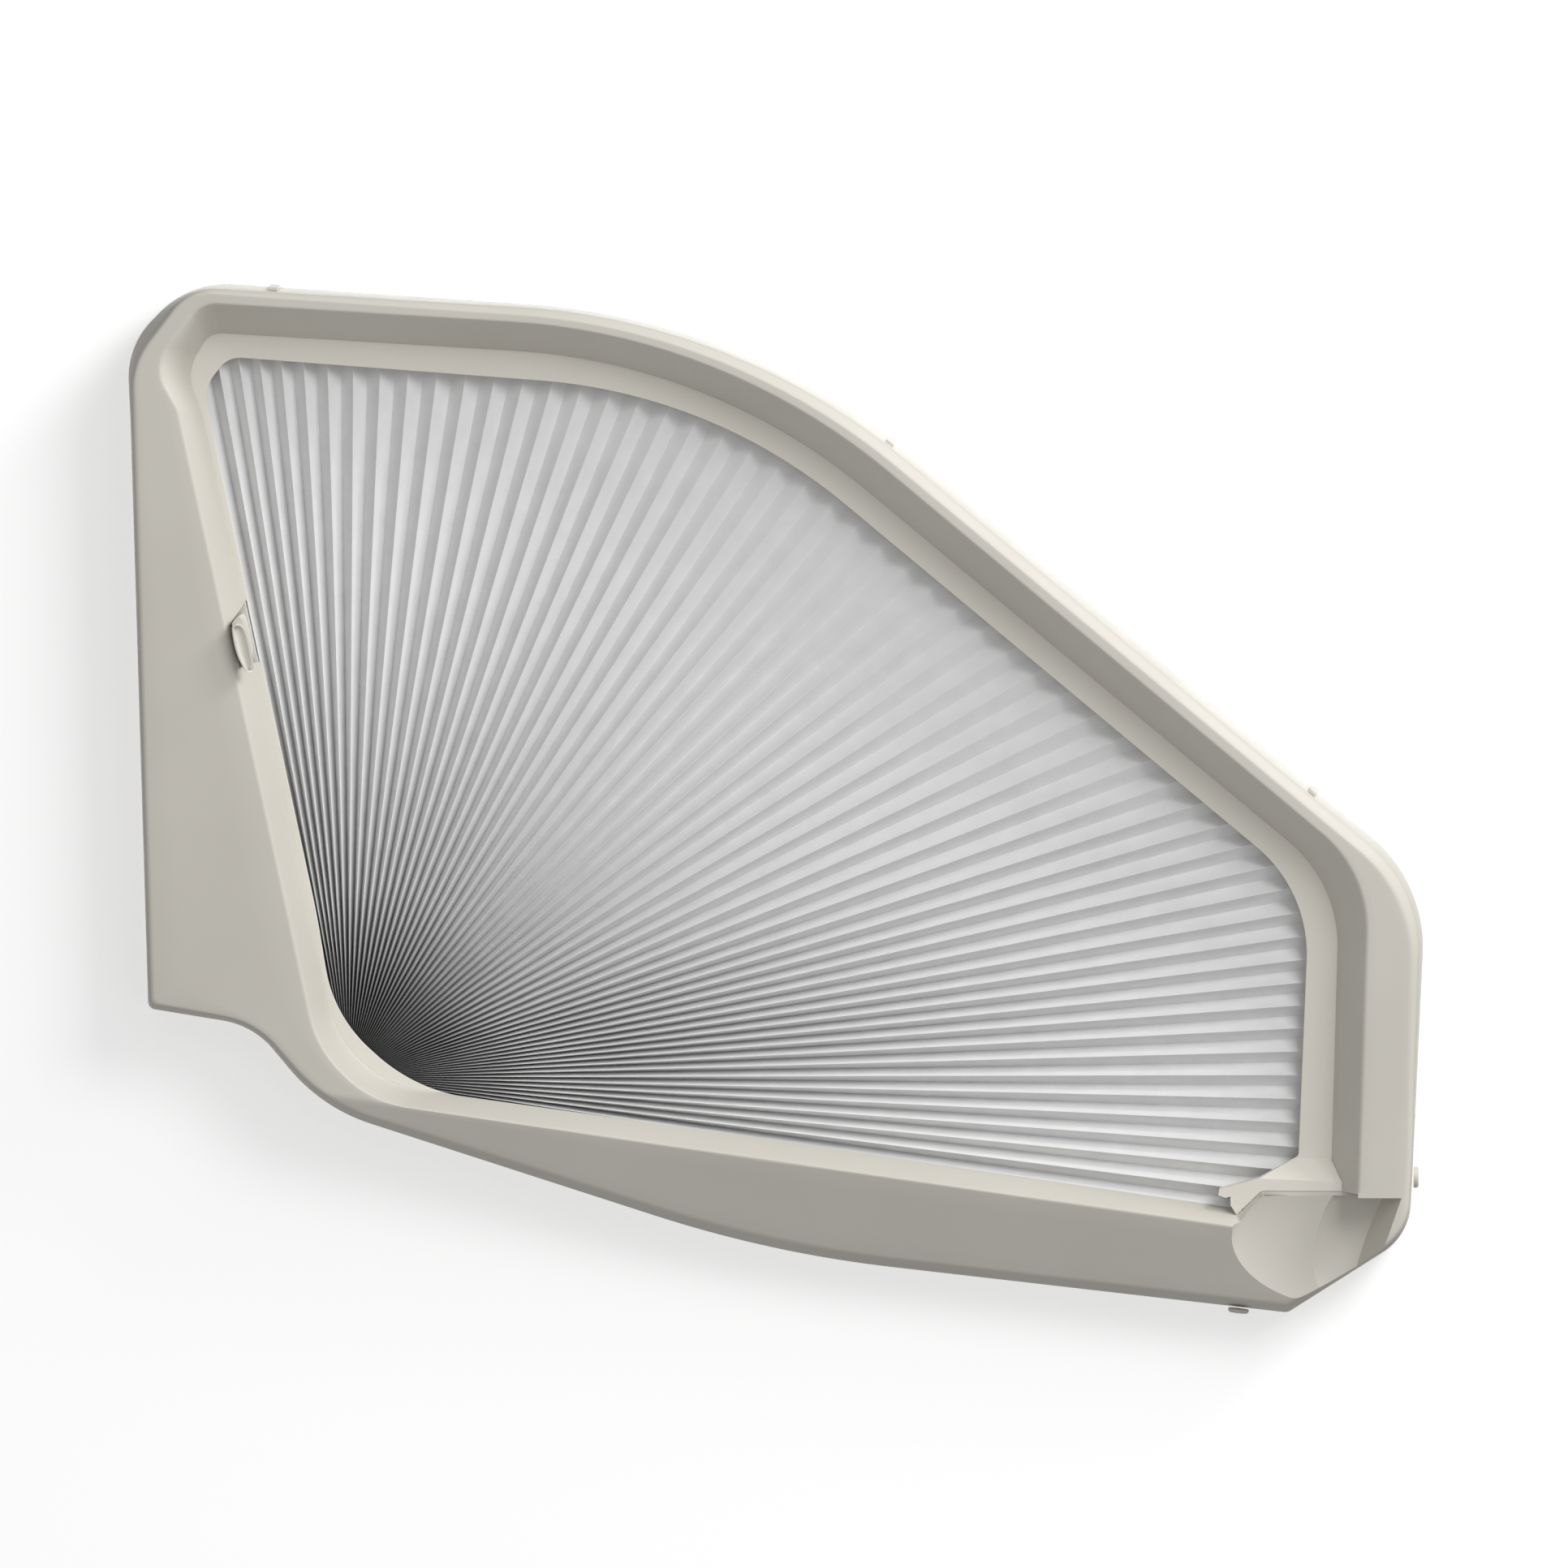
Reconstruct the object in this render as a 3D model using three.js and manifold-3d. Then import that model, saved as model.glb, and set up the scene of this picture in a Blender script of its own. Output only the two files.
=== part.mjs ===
import * as THREE from 'three';
import { mergeVertices } from 'three/addons/utils/BufferGeometryUtils.js';
import Module from 'manifold-3d';

// Side-window blackout blind with a pleated screen that fans about a corner pivot.
// Millimetres. The origin is the fan pivot on the rear face, X right, Z up, front at -Y.
// Every depth is measured forward from the rear face.

const wasm = await Module();
wasm.setup();
const degrees = (value) => THREE.MathUtils.degToRad(value);

// Driving sizes of the casing
const blindLength = 880;
const blindHeight = 700;
const frontDepth = 62;
const brimDrop = 6;
const bandDepth = 42;
const flangeDepth = 27;
const flangeThickness = 2.5;
const plateThickness = 4;
const plateEdgeGap = 1.8;
const casingWall = 2.6;
const seatGap = 0.3;
const smallestReach = 0.4;
const overrun = 20;
const sillLean = degrees(25);
const cornerSteps = 6;
const roundSteps = 24;

// Driving sizes of the fan
const closedPast = degrees(0.3);
const openPast = degrees(0.1);
const stackAngle = degrees(3.4);
const lastFoldGap = degrees(0.35);
const sightAngle = degrees(0.6);
const pleatCount = 58;
const facetWidth = 12.6;
const screenMidDepth = 14.5;
const screenSkin = 1.2;
const screenInnerRadius = 14;
const screenTuck = 7;

// Driving sizes of the moving rail
const railBack = 7.5;
const railFront = 22;
const railSide = 0.8;
const railNeckWidth = 4;
const railTipWidth = 14.2;
const railNeckRadius = 60;
const tipClearance = 5;
const shoeLength = 12;
const shoeLip = 0.8;
const strapThickness = 1.2;
const strapWidth = 3.4;
const strapEndInset = 26;

// Driving sizes of the pivot
const hubRadius = 10.5;
const hubBoreRadius = 4.1;
const hubHeight = 14.3;
const pinRadius = 4;
const pinFlangeRadius = 9;
const pinFlangeThickness = 1.5;
const pinBoreRadius = 1.8;
const pinBoreDepth = 8;
const washerThickness = 0.8;
const tongueThickness = 2;
const tongueReach = 44;
const pivotHeadRadius = 7;
const pivotHeadThickness = 1.3;
const pivotShankRadius = 1.5;
const pivotShankLength = 7;

// Driving sizes of the grip and the gap it moves in
const gripStartShare = 0.4064;
const gripSide = 0.5;
const gripLength = 35.5;
const gripWidth = 9.9;
const gripStandoff = 1.5;
const gripThickness = 2.2;
const gripRimHeight = 4.2;
const gripRimWidth = 1.9;
const stemInset = 7.5;
const stemSide = 1.6;
const stemLength = 31.8;
const stemWidth = 8.4;
const gripScrewRadius = 1.3;
const gripScrewHeight = 1.2;
const notchInset = 4.5;
const notchLength = 46;
const notchSlope = 16;
const notchFarSide = 11.5;
const notchNearSide = -12;
const notchLipSide = -4;

// Driving sizes of the small parts
const clampStart = 34;
const clampSide = 0.8;
const clampWidth = 5;
const clampAngle = degrees(0.25);
const clampEndInset = 16;
const keeperThickness = 1.2;
const magnetStartShare = 0.5657;
const magnetLength = 22;
const magnetAirGap = 0.6;
const magnetTop = 19;
const stopStartShare = 0.615;
const stopLength = 12;
const postRadius = 4;
const postBoreRadius = 1.5;
const postBoreDepth = 9;
const fixingHeadRadius = 3.4;
const fixingHeadHeight = 1.8;
const fixingSink = 2.2;
const fixingShankRadius = 1.2;
const fixingReach = 6;
const clipWidth = 6;
const clipThickness = 2;
const clipBack = 10;
const clipFront = 42;
const sidePegRadius = 7.2;
const sidePegLength = 3.4;
const sidePegDepth = 26;
const sillPegRadius = 7;
const sillPegLength = 2.6;
const sillPegDepth = 9;
const pegDome = 1;

// Driving sizes of the finger scoop
const scoopDepth = 34;
const scoopHalfLength = 66;
const scoopHalfHeight = 70;
const dentDepth = 4.5;
const dentHalfLength = 17;
const dentHalfHeight = 27;
const dentTilt = degrees(24);
const scoopReliefShare = 0.4;
const scoopSteps = 28;

// Outlines as corners: shares of the length across, of the height up, and of the length for
// how far the rounding reaches along each side. They run clockwise from the lower left.
const rearShares = [
  [-0.1563, 0.0638, 0.005], [-0.1691, 0.6342, 0.0125], [-0.1719, 0.7081, 0.034], [-0.1225, 0.7702, 0.034],
  [0.3081, 0.7348, 0.1725], [0.83, 0.1903, 0.055], [0.82, -0.0886, 0.0225], [0.8175, -0.153, 0.03],
  [0.7237, -0.2285, 0.0031], [0.325, -0.1727, 0.0938], [-0.0219, -0.0328, 0.0425], [-0.075, 0.0473, 0.0238],
];
const brimShares = [
  [-0.1511, 0.0733, 0.0038], [-0.1636, 0.6398, 0.0125], [-0.1649, 0.6956, 0.0225], [-0.1205, 0.7687, 0.0219],
  [0.302, 0.7373, 0.1675], [0.8276, 0.1904, 0.0538], [0.8208, -0.083, 0.0225], [0.817, -0.1443, 0.0288],
  [0.7239, -0.2189, 0.0031], [0.3276, -0.1632, 0.0938], [-0.0174, -0.0225, 0.0425], [-0.0705, 0.0561, 0.0238],
];
const faceShares = [
  [-0.1496, 0.0747, 0.0038], [-0.1627, 0.6404, 0.0125], [-0.1633, 0.6939, 0.0213], [-0.1202, 0.7654, 0.0206],
  [0.2985, 0.7292, 0.1638], [0.8229, 0.1832, 0.0531], [0.8192, -0.0824, 0.0225], [0.816, -0.1429, 0.0288],
  [0.7235, -0.2168, 0.0031], [0.3279, -0.161, 0.0938], [-0.0165, -0.0203, 0.0425], [-0.0696, 0.0582, 0.0238],
];
const mouthShares = [
  [-0.0427, 0.1612, 0.0187], [-0.1271, 0.6507, 0.0025], [-0.1458, 0.6931, 0.02], [-0.1096, 0.7536, 0.0125],
  [0.2917, 0.7237, 0.1638], [0.7867, 0.2059, 0.0469], [0.7792, -0.1054, 0.0013], [0.7074, -0.1054, 0.0013],
  [0.6904, -0.1374, 0.0019], [0.3279, -0.0738, 0.0375], [0.0223, -0.0196, 0.0288], [-0.0202, 0.0299, 0.0288],
];
const throatShares = [
  [-0.0294, 0.1577, 0.0187], [-0.1113, 0.6424, 0.0025], [-0.1238, 0.6841, 0.0163], [-0.1056, 0.7226, 0.01],
  [0.2819, 0.6943, 0.1531], [0.7637, 0.1914, 0.05], [0.7575, -0.1054, 0.0013], [0.703, -0.1054, 0.0013],
  [0.6812, -0.1228, 0.0019], [0.3262, -0.0584, 0.0375], [0.0306, -0.0073, 0.0269], [-0.0088, 0.039, 0.0269],
];
const windowShares = [
  [-0.0238, 0.1577, 0.0187], [-0.1069, 0.6432, 0.0038], [-0.1088, 0.6715, 0.01], [-0.0913, 0.699, 0.01],
  [0.2812, 0.6644, 0.1325], [0.7406, 0.1844, 0.0531], [0.7325, -0.0726, 0.0025], [0.7031, -0.0946, 0.01],
  [0.6775, -0.1244, 0.0019], [0.3262, -0.0623, 0.0375], [0.0512, -0.0113, 0.0425], [-0.0113, 0.0602, 0.0425],
];
const channelShares = [
  [-0.0563, 0.1564, 0.0187], [-0.14, 0.6356, 0.0125], [-0.1456, 0.6985, 0.0156], [-0.115, 0.7331, 0.0125],
  [0.2844, 0.704, 0.1562], [0.7731, 0.1941, 0.05], [0.7706, -0.0872, 0.0094], [0.7663, -0.1579, 0.0063],
  [0.7256, -0.2035, 0.0038], [0.3256, -0.1556, 0.0938], [-0.0131, -0.0181, 0.0375], [-0.0394, 0.0346, 0.025],
];
const bandShares = [
  [0.6719, -0.1039], [0.7026, -0.0929], [0.7338, -0.0716], [0.76, -0.0716], [0.7706, -0.0967], [0.7706, -0.109],
  [0.7088, -0.109], [0.6894, -0.1363], [0.6808, -0.1189], [0.6806, -0.1105], [0.6769, -0.1118], [0.6713, -0.1094],
];
const facetTopShare = -0.0716;
const facetCreaseShare = -0.0967;
const scoopPlaceShares = [0.7545, -0.1686];
const dentPlaceShares = [0.77, -0.158];
const sidePegShare = -0.0929;
const sillPegShare = 0.094;

// Screw posts: the side of the outline and the share along it, then two under the sill
const postSideShares = [
  [0, 0.15], [0, 0.6], [0, 0.96], [3, 0.1], [3, 0.62], [4, 0.35], [4, 0.75], [5, 0.2], [5, 0.75], [11, 0.5],
];
const sillPostShares = [[0.17, -0.0714], [0.455, -0.147]];

// Directions from the pivot in which the edge clips lie
const clipAngles = [degrees(95.3), degrees(49.6), degrees(16.7)];

// How the folds are spread over the fan: share of the pleats and share of the angle
const foldSpreadShares = [
  [0, 0], [0.034, 0.0258], [0.155, 0.1158], [0.276, 0.2024], [0.379, 0.2923],
  [0.517, 0.454], [0.655, 0.6272], [0.793, 0.7898], [0.897, 0.9091], [1, 1],
];

// The grip's edge and its stem in the rail's directions: shares along and to the left
const gripEdgeShares = [
  [0.944, 0], [1, 0.88], [0.775, 0.98], [0.55, 1], [0.324, 0.92], [0.17, 0.76], [0.06, 0.6],
  [0.003, 0.41], [0.014, 0.18], [0.085, 0.04], [0.21, 0],
];
const gripScrewShares = [0.11, 0.13];
const stemEdgeShares = [[0, 0], [0.833, 0], [0.928, 0.095], [1, 0.286], [0.959, 0.583], [0.849, 1], [0, 1]];

// Corners in millimetres from their shares
function cornersFrom(shares) {
  return shares.map(([across, up, reach = 0]) => ({
    x: across * blindLength,
    z: up * blindHeight,
    reach: reach * blindLength,
  }));
}

function lineBetween(from, to) {
  const length = Math.hypot(to.x - from.x, to.z - from.z);
  return { x: (to.x - from.x) / length, z: (to.z - from.z) / length, length };
}

function pointBetween(from, to, share) {
  return { x: from.x + (to.x - from.x) * share, z: from.z + (to.z - from.z) * share };
}

// Moves every side of a clockwise outline outward by a distance, or inward if it is negative
function grow(corners, distance) {
  const count = corners.length;
  return corners.map((corner, i) => {
    const into = lineBetween(corners[(i + count - 1) % count], corner);
    const out = lineBetween(corner, corners[(i + 1) % count]);
    const turn = Math.atan2(into.z * out.x - into.x * out.z, into.x * out.x + into.z * out.z);
    const shift = distance / (1 + into.x * out.x + into.z * out.z);
    return {
      x: corner.x - (into.z + out.z) * shift,
      z: corner.z + (into.x + out.x) * shift,
      reach: Math.max(smallestReach, corner.reach + distance * Math.tan(turn / 2)),
    };
  });
}

// Points of an outline: a circular arc of equal reach at every corner
function loopOf(corners) {
  const count = corners.length;
  return corners.flatMap((corner, i) => {
    const into = lineBetween(corners[(i + count - 1) % count], corner);
    const out = lineBetween(corner, corners[(i + 1) % count]);
    const reach = Math.min(corner.reach, into.length / 2.1, out.length / 2.1);
    const weight = Math.sqrt((1 + into.x * out.x + into.z * out.z) / 2);
    return Array.from({ length: cornerSteps + 1 }, (_, step) => {
      const u = step / cornerSteps;
      const before = (1 - u) ** 2;
      const after = u ** 2;
      const total = before + after + 2 * weight * u * (1 - u);
      return {
        x: corner.x + (after * out.x - before * into.x) * reach / total,
        z: corner.z + (after * out.z - before * into.z) * reach / total,
      };
    });
  });
}

// An outline laid at a depth, or at the depth a function gives for each point
function ringAt(corners, depth) {
  const depthAt = typeof depth === 'function' ? depth : () => depth;
  return loopOf(corners).map((point) => new THREE.Vector3(point.x, -depthAt(point), point.z));
}

// Closed solid from points and triangles, turned the right way out
function solidOf(positions, triangles) {
  const kept = [];
  for (let k = 0; k < triangles.length; k += 3) {
    const [a, b, c] = triangles.slice(k, k + 3);
    if (a !== b && b !== c && c !== a) {
      kept.push(a, b, c);
    }
  }
  const point = (k) => new THREE.Vector3().fromArray(positions, 3 * kept[k]);
  let volume = 0;
  for (let k = 0; k < kept.length; k += 3) {
    volume += point(k).dot(point(k + 1).cross(point(k + 2)));
  }
  const triVerts = Uint32Array.from(volume < 0 ? kept.reverse() : kept);
  return new wasm.Manifold(new wasm.Mesh({ numProp: 3, vertProperties: Float32Array.from(positions), triVerts }));
}

function solidFrom(geometry) {
  geometry.deleteAttribute('normal');
  geometry.deleteAttribute('uv');
  const merged = mergeVertices(geometry, seatGap / 100);
  return solidOf(Array.from(merged.attributes.position.array), Array.from(merged.index.array));
}

// Ring-shaped solid through a list of equal rings, the last joined to the first
function ringSolid(rings) {
  const count = rings[0].length;
  const triangles = rings.flatMap((ring, r) => ring.flatMap((point, i) => {
    const here = r * count;
    const next = ((r + 1) % rings.length) * count;
    const j = (i + 1) % count;
    return [here + i, next + i, next + j, here + i, next + j, here + j];
  }));
  return solidOf(rings.flat().flatMap((point) => point.toArray()), triangles);
}

// Flat outline carried from one depth to another
function slab(points, back, front) {
  const shape = new THREE.Shape(points.map((point) => new THREE.Vector2(point.x, point.z)));
  const geometry = new THREE.ExtrudeGeometry(shape, { depth: front - back, bevelEnabled: false });
  geometry.rotateX(Math.PI / 2);
  geometry.translate(0, -back, 0);
  return solidFrom(geometry);
}

// Turned part about a line along the depth, from [radius, depth] pairs
function turned(profile, place = { x: 0, z: 0 }) {
  const outline = [...profile, profile[0]].map(([radius, depth]) => new THREE.Vector2(radius, -depth));
  const geometry = new THREE.LatheGeometry(outline, roundSteps);
  geometry.translate(place.x, 0, place.z);
  return solidFrom(geometry);
}

function disc(radius, back, front, place) {
  return turned([[0, back], [radius, back], [radius, front], [0, front]], place);
}

// Solid through two four-sided outlines, listed in the same order round
function block(lower, upper) {
  const positions = [...lower, ...upper].flat();
  return solidOf(positions, [
    0, 1, 2, 0, 2, 3, 4, 6, 5, 4, 7, 6, 0, 4, 5, 0, 5, 1,
    1, 5, 6, 1, 6, 2, 2, 6, 7, 2, 7, 3, 3, 7, 4, 3, 4, 0,
  ]);
}

// Distance from the pivot to the far side of a loop in one direction
function reachTo(loop, angle) {
  const line = { x: Math.cos(angle), z: Math.sin(angle) };
  let reach = 0;
  loop.forEach((from, i) => {
    const to = loop[(i + 1) % loop.length];
    const side = { x: to.x - from.x, z: to.z - from.z };
    const cross = line.x * side.z - line.z * side.x;
    const along = (from.x * side.z - from.z * side.x) / cross;
    const share = (from.x * line.z - from.z * line.x) / cross;
    if (share >= 0 && share <= 1) {
      reach = Math.max(reach, along);
    }
  });
  return reach;
}

// The outlines, and what follows from them
const rear = cornersFrom(rearShares);
const brim = cornersFrom(brimShares);
const face = cornersFrom(faceShares);
const mouth = cornersFrom(mouthShares);
const throat = cornersFrom(throatShares);
const opening = cornersFrom(windowShares);
const channel = cornersFrom(channelShares);
const channelInside = grow(channel, -flangeThickness);
const heelIndex = 1;
const kneeIndex = 6;
const chinIndex = 7;
const tipIndex = 8;
const bellyIndex = 9;
const neckSideIndex = 10;
const throatDepth = flangeDepth + seatGap;
const flangeBack = flangeDepth - flangeThickness;
const seatDepth = plateThickness + seatGap;
const ceiling = mouth[kneeIndex].z - casingWall;
const closedAngle = Math.atan2(opening[heelIndex].z, opening[heelIndex].x) + closedPast;
const openAngle = Math.atan2(throat[bellyIndex].z, throat[bellyIndex].x) + openPast;
const gripStart = gripStartShare * blindHeight;
const stemStart = gripStart + stemInset;
const notchStart = gripStart + notchInset;
const magnetStart = magnetStartShare * blindHeight;
const stopStart = stopStartShare * blindHeight;
const firstFoldAngle = openAngle - stackAngle;
const lastFoldAngle = closedAngle - lastFoldGap;

// The sill's front leans back below the crease that runs on past the pivot corner
const crease = lineBetween(mouth[neckSideIndex], mouth[tipIndex]);
function faceDepth(point) {
  const from = mouth[neckSideIndex];
  const below = crease.z * (point.x - from.x) - crease.x * (point.z - from.z);
  return frontDepth - Math.max(0, below) * Math.tan(sillLean);
}

function casingRings() {
  return [
    ringAt(rear, 0),
    ringAt(brim, (point) => faceDepth(point) - brimDrop),
    ringAt(face, faceDepth),
    ringAt(mouth, frontDepth),
    ringAt(throat, throatDepth),
  ];
}

function casingEnvelope() {
  return ringSolid([...casingRings(), ringAt(throat, 0)]);
}

function casingShell() {
  return ringSolid([
    ...casingRings(),
    ringAt(grow(throat, casingWall), throatDepth),
    ringAt(grow(mouth, casingWall), frontDepth - casingWall),
    ringAt(grow(face, -casingWall), (point) => faceDepth(point) - casingWall),
    ringAt(grow(brim, -casingWall), (point) => faceDepth(point) - brimDrop - casingWall / 2),
    ringAt(grow(rear, -casingWall), 0),
  ]);
}

// Finger scoop: an oval hollow and a second dent in it, both under a level edge
function ovalHollow(placeShares, halfLength, depth, halfHeight, tilt) {
  const geometry = new THREE.SphereGeometry(1, scoopSteps, scoopSteps / 2);
  geometry.scale(halfLength, depth, halfHeight);
  geometry.rotateY(tilt);
  geometry.translate(placeShares[0] * blindLength, -frontDepth, placeShares[1] * blindHeight);
  return solidFrom(geometry);
}

function scoopVolume(extra) {
  const bowl = ovalHollow(
    scoopPlaceShares, scoopHalfLength + extra, scoopDepth + extra, scoopHalfHeight + extra, 0);
  const dent = ovalHollow(
    dentPlaceShares, dentHalfLength + extra, scoopDepth + dentDepth + extra, dentHalfHeight + extra, dentTilt);
  const under = slab([
    { x: 0, z: -blindHeight }, { x: 0, z: ceiling + extra },
    { x: blindLength, z: ceiling + extra }, { x: blindLength, z: -blindHeight },
  ], 0, frontDepth + overrun);
  return bowl.add(dent).intersect(under);
}

// The wall over the scoop stops level with the hook band
function ledgeCut() {
  const outside = grow(mouth, casingWall + seatGap);
  const inside = grow(mouth, -seatGap);
  return slab([
    { x: mouth[kneeIndex].x, z: inside[kneeIndex].z }, { x: mouth[kneeIndex].x, z: outside[kneeIndex].z },
    outside[chinIndex], outside[tipIndex], inside[tipIndex], inside[chinIndex],
  ], bandDepth, frontDepth + overrun);
}

// Places in the rail's directions: along the fan line, and to the left of it
function railPlace(along, side, angle = closedAngle) {
  return {
    x: along * Math.cos(angle) - side * Math.sin(angle),
    z: along * Math.sin(angle) + side * Math.cos(angle),
  };
}

function railSlab(places, back, front, angle) {
  return slab(places.map(([along, side]) => railPlace(along, side, angle)), back, front);
}

// Gap in the left lip for the stem of the grip
function notchVolume() {
  const end = notchStart + notchLength;
  return railSlab([
    [notchStart, notchNearSide], [notchStart, notchFarSide],
    [end - notchSlope, notchFarSide], [end, notchLipSide], [end, notchNearSide],
  ], flangeBack - seatGap, frontDepth + overrun);
}

function postPlaces() {
  const count = rear.length;
  const besideChannel = postSideShares.map(([side, share]) => pointBetween(
    pointBetween(channel[side], channel[(side + 1) % count], share),
    pointBetween(rear[side], rear[(side + 1) % count], share), 0.5));
  return [...besideChannel, ...cornersFrom(sillPostShares)];
}

function frontCover() {
  const envelope = casingEnvelope();
  const posts = postPlaces().map((place) => disc(postRadius, seatDepth, frontDepth, place).intersect(envelope));
  const bores = postPlaces().map((place) => disc(postBoreRadius, 0, seatDepth + postBoreDepth, place));
  const scoop = scoopVolume(0);
  const scoopWall = scoopVolume(casingWall).intersect(envelope);
  let cover = posts.reduce((whole, post) => whole.add(post), casingShell().add(scoopWall));
  cover = cover.subtract(scoop).subtract(ledgeCut()).subtract(notchVolume());
  return bores.reduce((whole, bore) => whole.subtract(bore), cover);
}

// Everything in front of the sloped facet above the hook band
function facetCut() {
  const low = facetCreaseShare * blindHeight;
  const high = facetTopShare * blindHeight;
  const rise = high - low;
  const run = bandDepth - flangeDepth;
  const outline = (x) => [
    [x, -(bandDepth + run), low - rise], [x, -flangeDepth, high],
    [x, -flangeDepth, high + rise], [x, -(bandDepth + run), high + rise],
  ];
  return block(outline(0), outline(blindLength));
}

// Everything that lies behind the funnel face, less the seat gap
function funnelKeepOut() {
  const back = flangeDepth + seatGap / 2;
  return ringSolid([
    ringAt(grow(mouth, -seatGap), frontDepth),
    ringAt(grow(throat, -seatGap), back),
    ringAt(grow(rear, overrun), back),
    ringAt(grow(rear, overrun), frontDepth),
  ]);
}

// The flange is left out where the scoop comes down to it
function scoopRelief() {
  const x = scoopPlaceShares[0] * blindLength;
  const z = scoopPlaceShares[1] * blindHeight;
  const across = scoopReliefShare * scoopHalfLength;
  const up = scoopReliefShare * scoopHalfHeight;
  return slab([
    { x: x - across, z: z - up }, { x: x - across, z: z + up },
    { x: x + across, z: z + up }, { x: x + across, z: z - up },
  ], flangeBack - seatGap, bandDepth);
}

function guideFrame() {
  const flange = ringSolid([
    ringAt(opening, flangeDepth),
    ringAt(channel, flangeDepth),
    ringAt(channel, seatDepth),
    ringAt(channelInside, seatDepth),
    ringAt(channelInside, flangeBack),
    ringAt(opening, flangeBack),
  ]);
  const band = slab(cornersFrom(bandShares), flangeBack, bandDepth);
  const holes = cornersFrom(sillPostShares).map((place) => disc(postRadius + seatGap, 0, bandDepth, place));
  const hubRoom = disc(hubRadius + seatGap, 0, flangeBack - seatGap);
  const cuts = [scoopVolume(casingWall + seatGap), scoopRelief(), notchVolume(), hubRoom, ...holes];
  const whole = flange.add(band.subtract(facetCut()).subtract(funnelKeepOut()));
  return cuts.reduce((rest, cut) => rest.subtract(cut), whole);
}

function rearPlate() {
  const outer = grow(rear, -casingWall - plateEdgeGap);
  const inner = grow(opening, casingWall / 2);
  const plate = ringSolid([
    ringAt(outer, 0), ringAt(outer, plateThickness), ringAt(inner, plateThickness), ringAt(inner, 0),
  ]);
  return postPlaces().reduce((rest, place) => rest.subtract(turned([
    [0, -overrun], [fixingHeadRadius + seatGap, -overrun], [fixingHeadRadius + seatGap, fixingSink + seatGap],
    [fixingShankRadius + seatGap, fixingSink + seatGap], [fixingShankRadius + seatGap, overrun], [0, overrun],
  ], place)), plate);
}

function frameScrew(place) {
  const head = fixingSink - fixingHeadHeight;
  const end = seatDepth + fixingReach;
  return turned([
    [0, head], [fixingHeadRadius, head], [fixingHeadRadius, fixingSink],
    [fixingShankRadius, fixingSink], [fixingShankRadius, end], [0, end],
  ], place);
}

// Pivot stack, built forward from the rear plate
const pinFlangeFront = seatDepth + pinFlangeThickness;
const rearWasherBack = pinFlangeFront + seatGap;
const hubBack = rearWasherBack + washerThickness + seatGap;
const hubFront = hubBack + hubHeight;
const frontWasherBack = hubFront + seatGap;
const pinFront = frontWasherBack + washerThickness;
const pivotHeadBack = pinFront + seatGap;
const tongueFront = railBack - seatGap;
const tongueBack = tongueFront - tongueThickness;

function pivotPin() {
  return turned([
    [0, seatDepth], [pinFlangeRadius, seatDepth], [pinFlangeRadius, pinFlangeFront],
    [pinRadius, pinFlangeFront], [pinRadius, pinFront], [pinBoreRadius, pinFront],
    [pinBoreRadius, pinFront - pinBoreDepth], [0, pinFront - pinBoreDepth],
  ]);
}

function pivotScrew() {
  const end = pinFront - pivotShankLength;
  const top = pivotHeadBack + pivotHeadThickness;
  return turned([
    [0, end], [pivotShankRadius, end], [pivotShankRadius, pivotHeadBack],
    [pivotHeadRadius, pivotHeadBack], [pivotHeadRadius, top], [0, top],
  ]);
}

function washer(back) {
  const front = back + washerThickness;
  return turned([
    [hubBoreRadius, back], [pinFlangeRadius, back], [pinFlangeRadius, front], [hubBoreRadius, front],
  ]);
}

// The rail ends short of the nearest place of the channel wall that it passes
const sweepSteps = 60;
const sweepReaches = Array.from({ length: sweepSteps + 1 }, (_, step) => reachTo(
  loopOf(channelInside), openAngle + (closedAngle - openAngle) * step / sweepSteps));
const shoeEnd = Math.min(...sweepReaches) - tipClearance;
const shoeStart = shoeEnd - shoeLength;
const railEnd = shoeStart - seatGap;
const railStart = hubRadius + 2 * seatGap;
const neckSide = railSide + railNeckWidth;
function leftSide(along) {
  return neckSide + (railTipWidth - railNeckWidth) * (along - railNeckRadius) / (railEnd - railNeckRadius);
}

function railHub() {
  const inner = pinFlangeRadius + seatGap;
  const armOf = (reach, front) => railSlab([
    [inner, railSide], [reach, railSide], [reach, neckSide], [inner, neckSide],
  ], tongueBack, front);
  return disc(hubRadius, hubBack, hubFront)
    .add(armOf(tongueReach, tongueFront))
    .add(armOf(hubRadius + seatGap, hubFront))
    .subtract(disc(hubBoreRadius, hubBack - overrun, hubFront + overrun));
}

function endRail() {
  return railSlab([
    [railStart, railSide], [railEnd, railSide], [railEnd, leftSide(railEnd)],
    [railNeckRadius, neckSide], [railStart, neckSide],
  ], railBack, railFront);
}

function railShoe() {
  const bow = shoeLength / 3;
  const far = leftSide(railEnd);
  return railSlab([
    [shoeStart, railSide], [shoeEnd - bow, railSide], [shoeEnd, railSide + bow],
    [shoeEnd, far - bow], [shoeEnd - bow, far], [shoeStart, far],
  ], railBack - shoeLip, railFront + shoeLip);
}

function railStrap() {
  const front = railBack - seatGap;
  const end = railEnd - strapEndInset;
  return railSlab([
    [railNeckRadius, railSide], [end, railSide], [end, railSide + strapWidth],
    [railNeckRadius, railSide + strapWidth],
  ], front - strapThickness, front);
}

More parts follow.
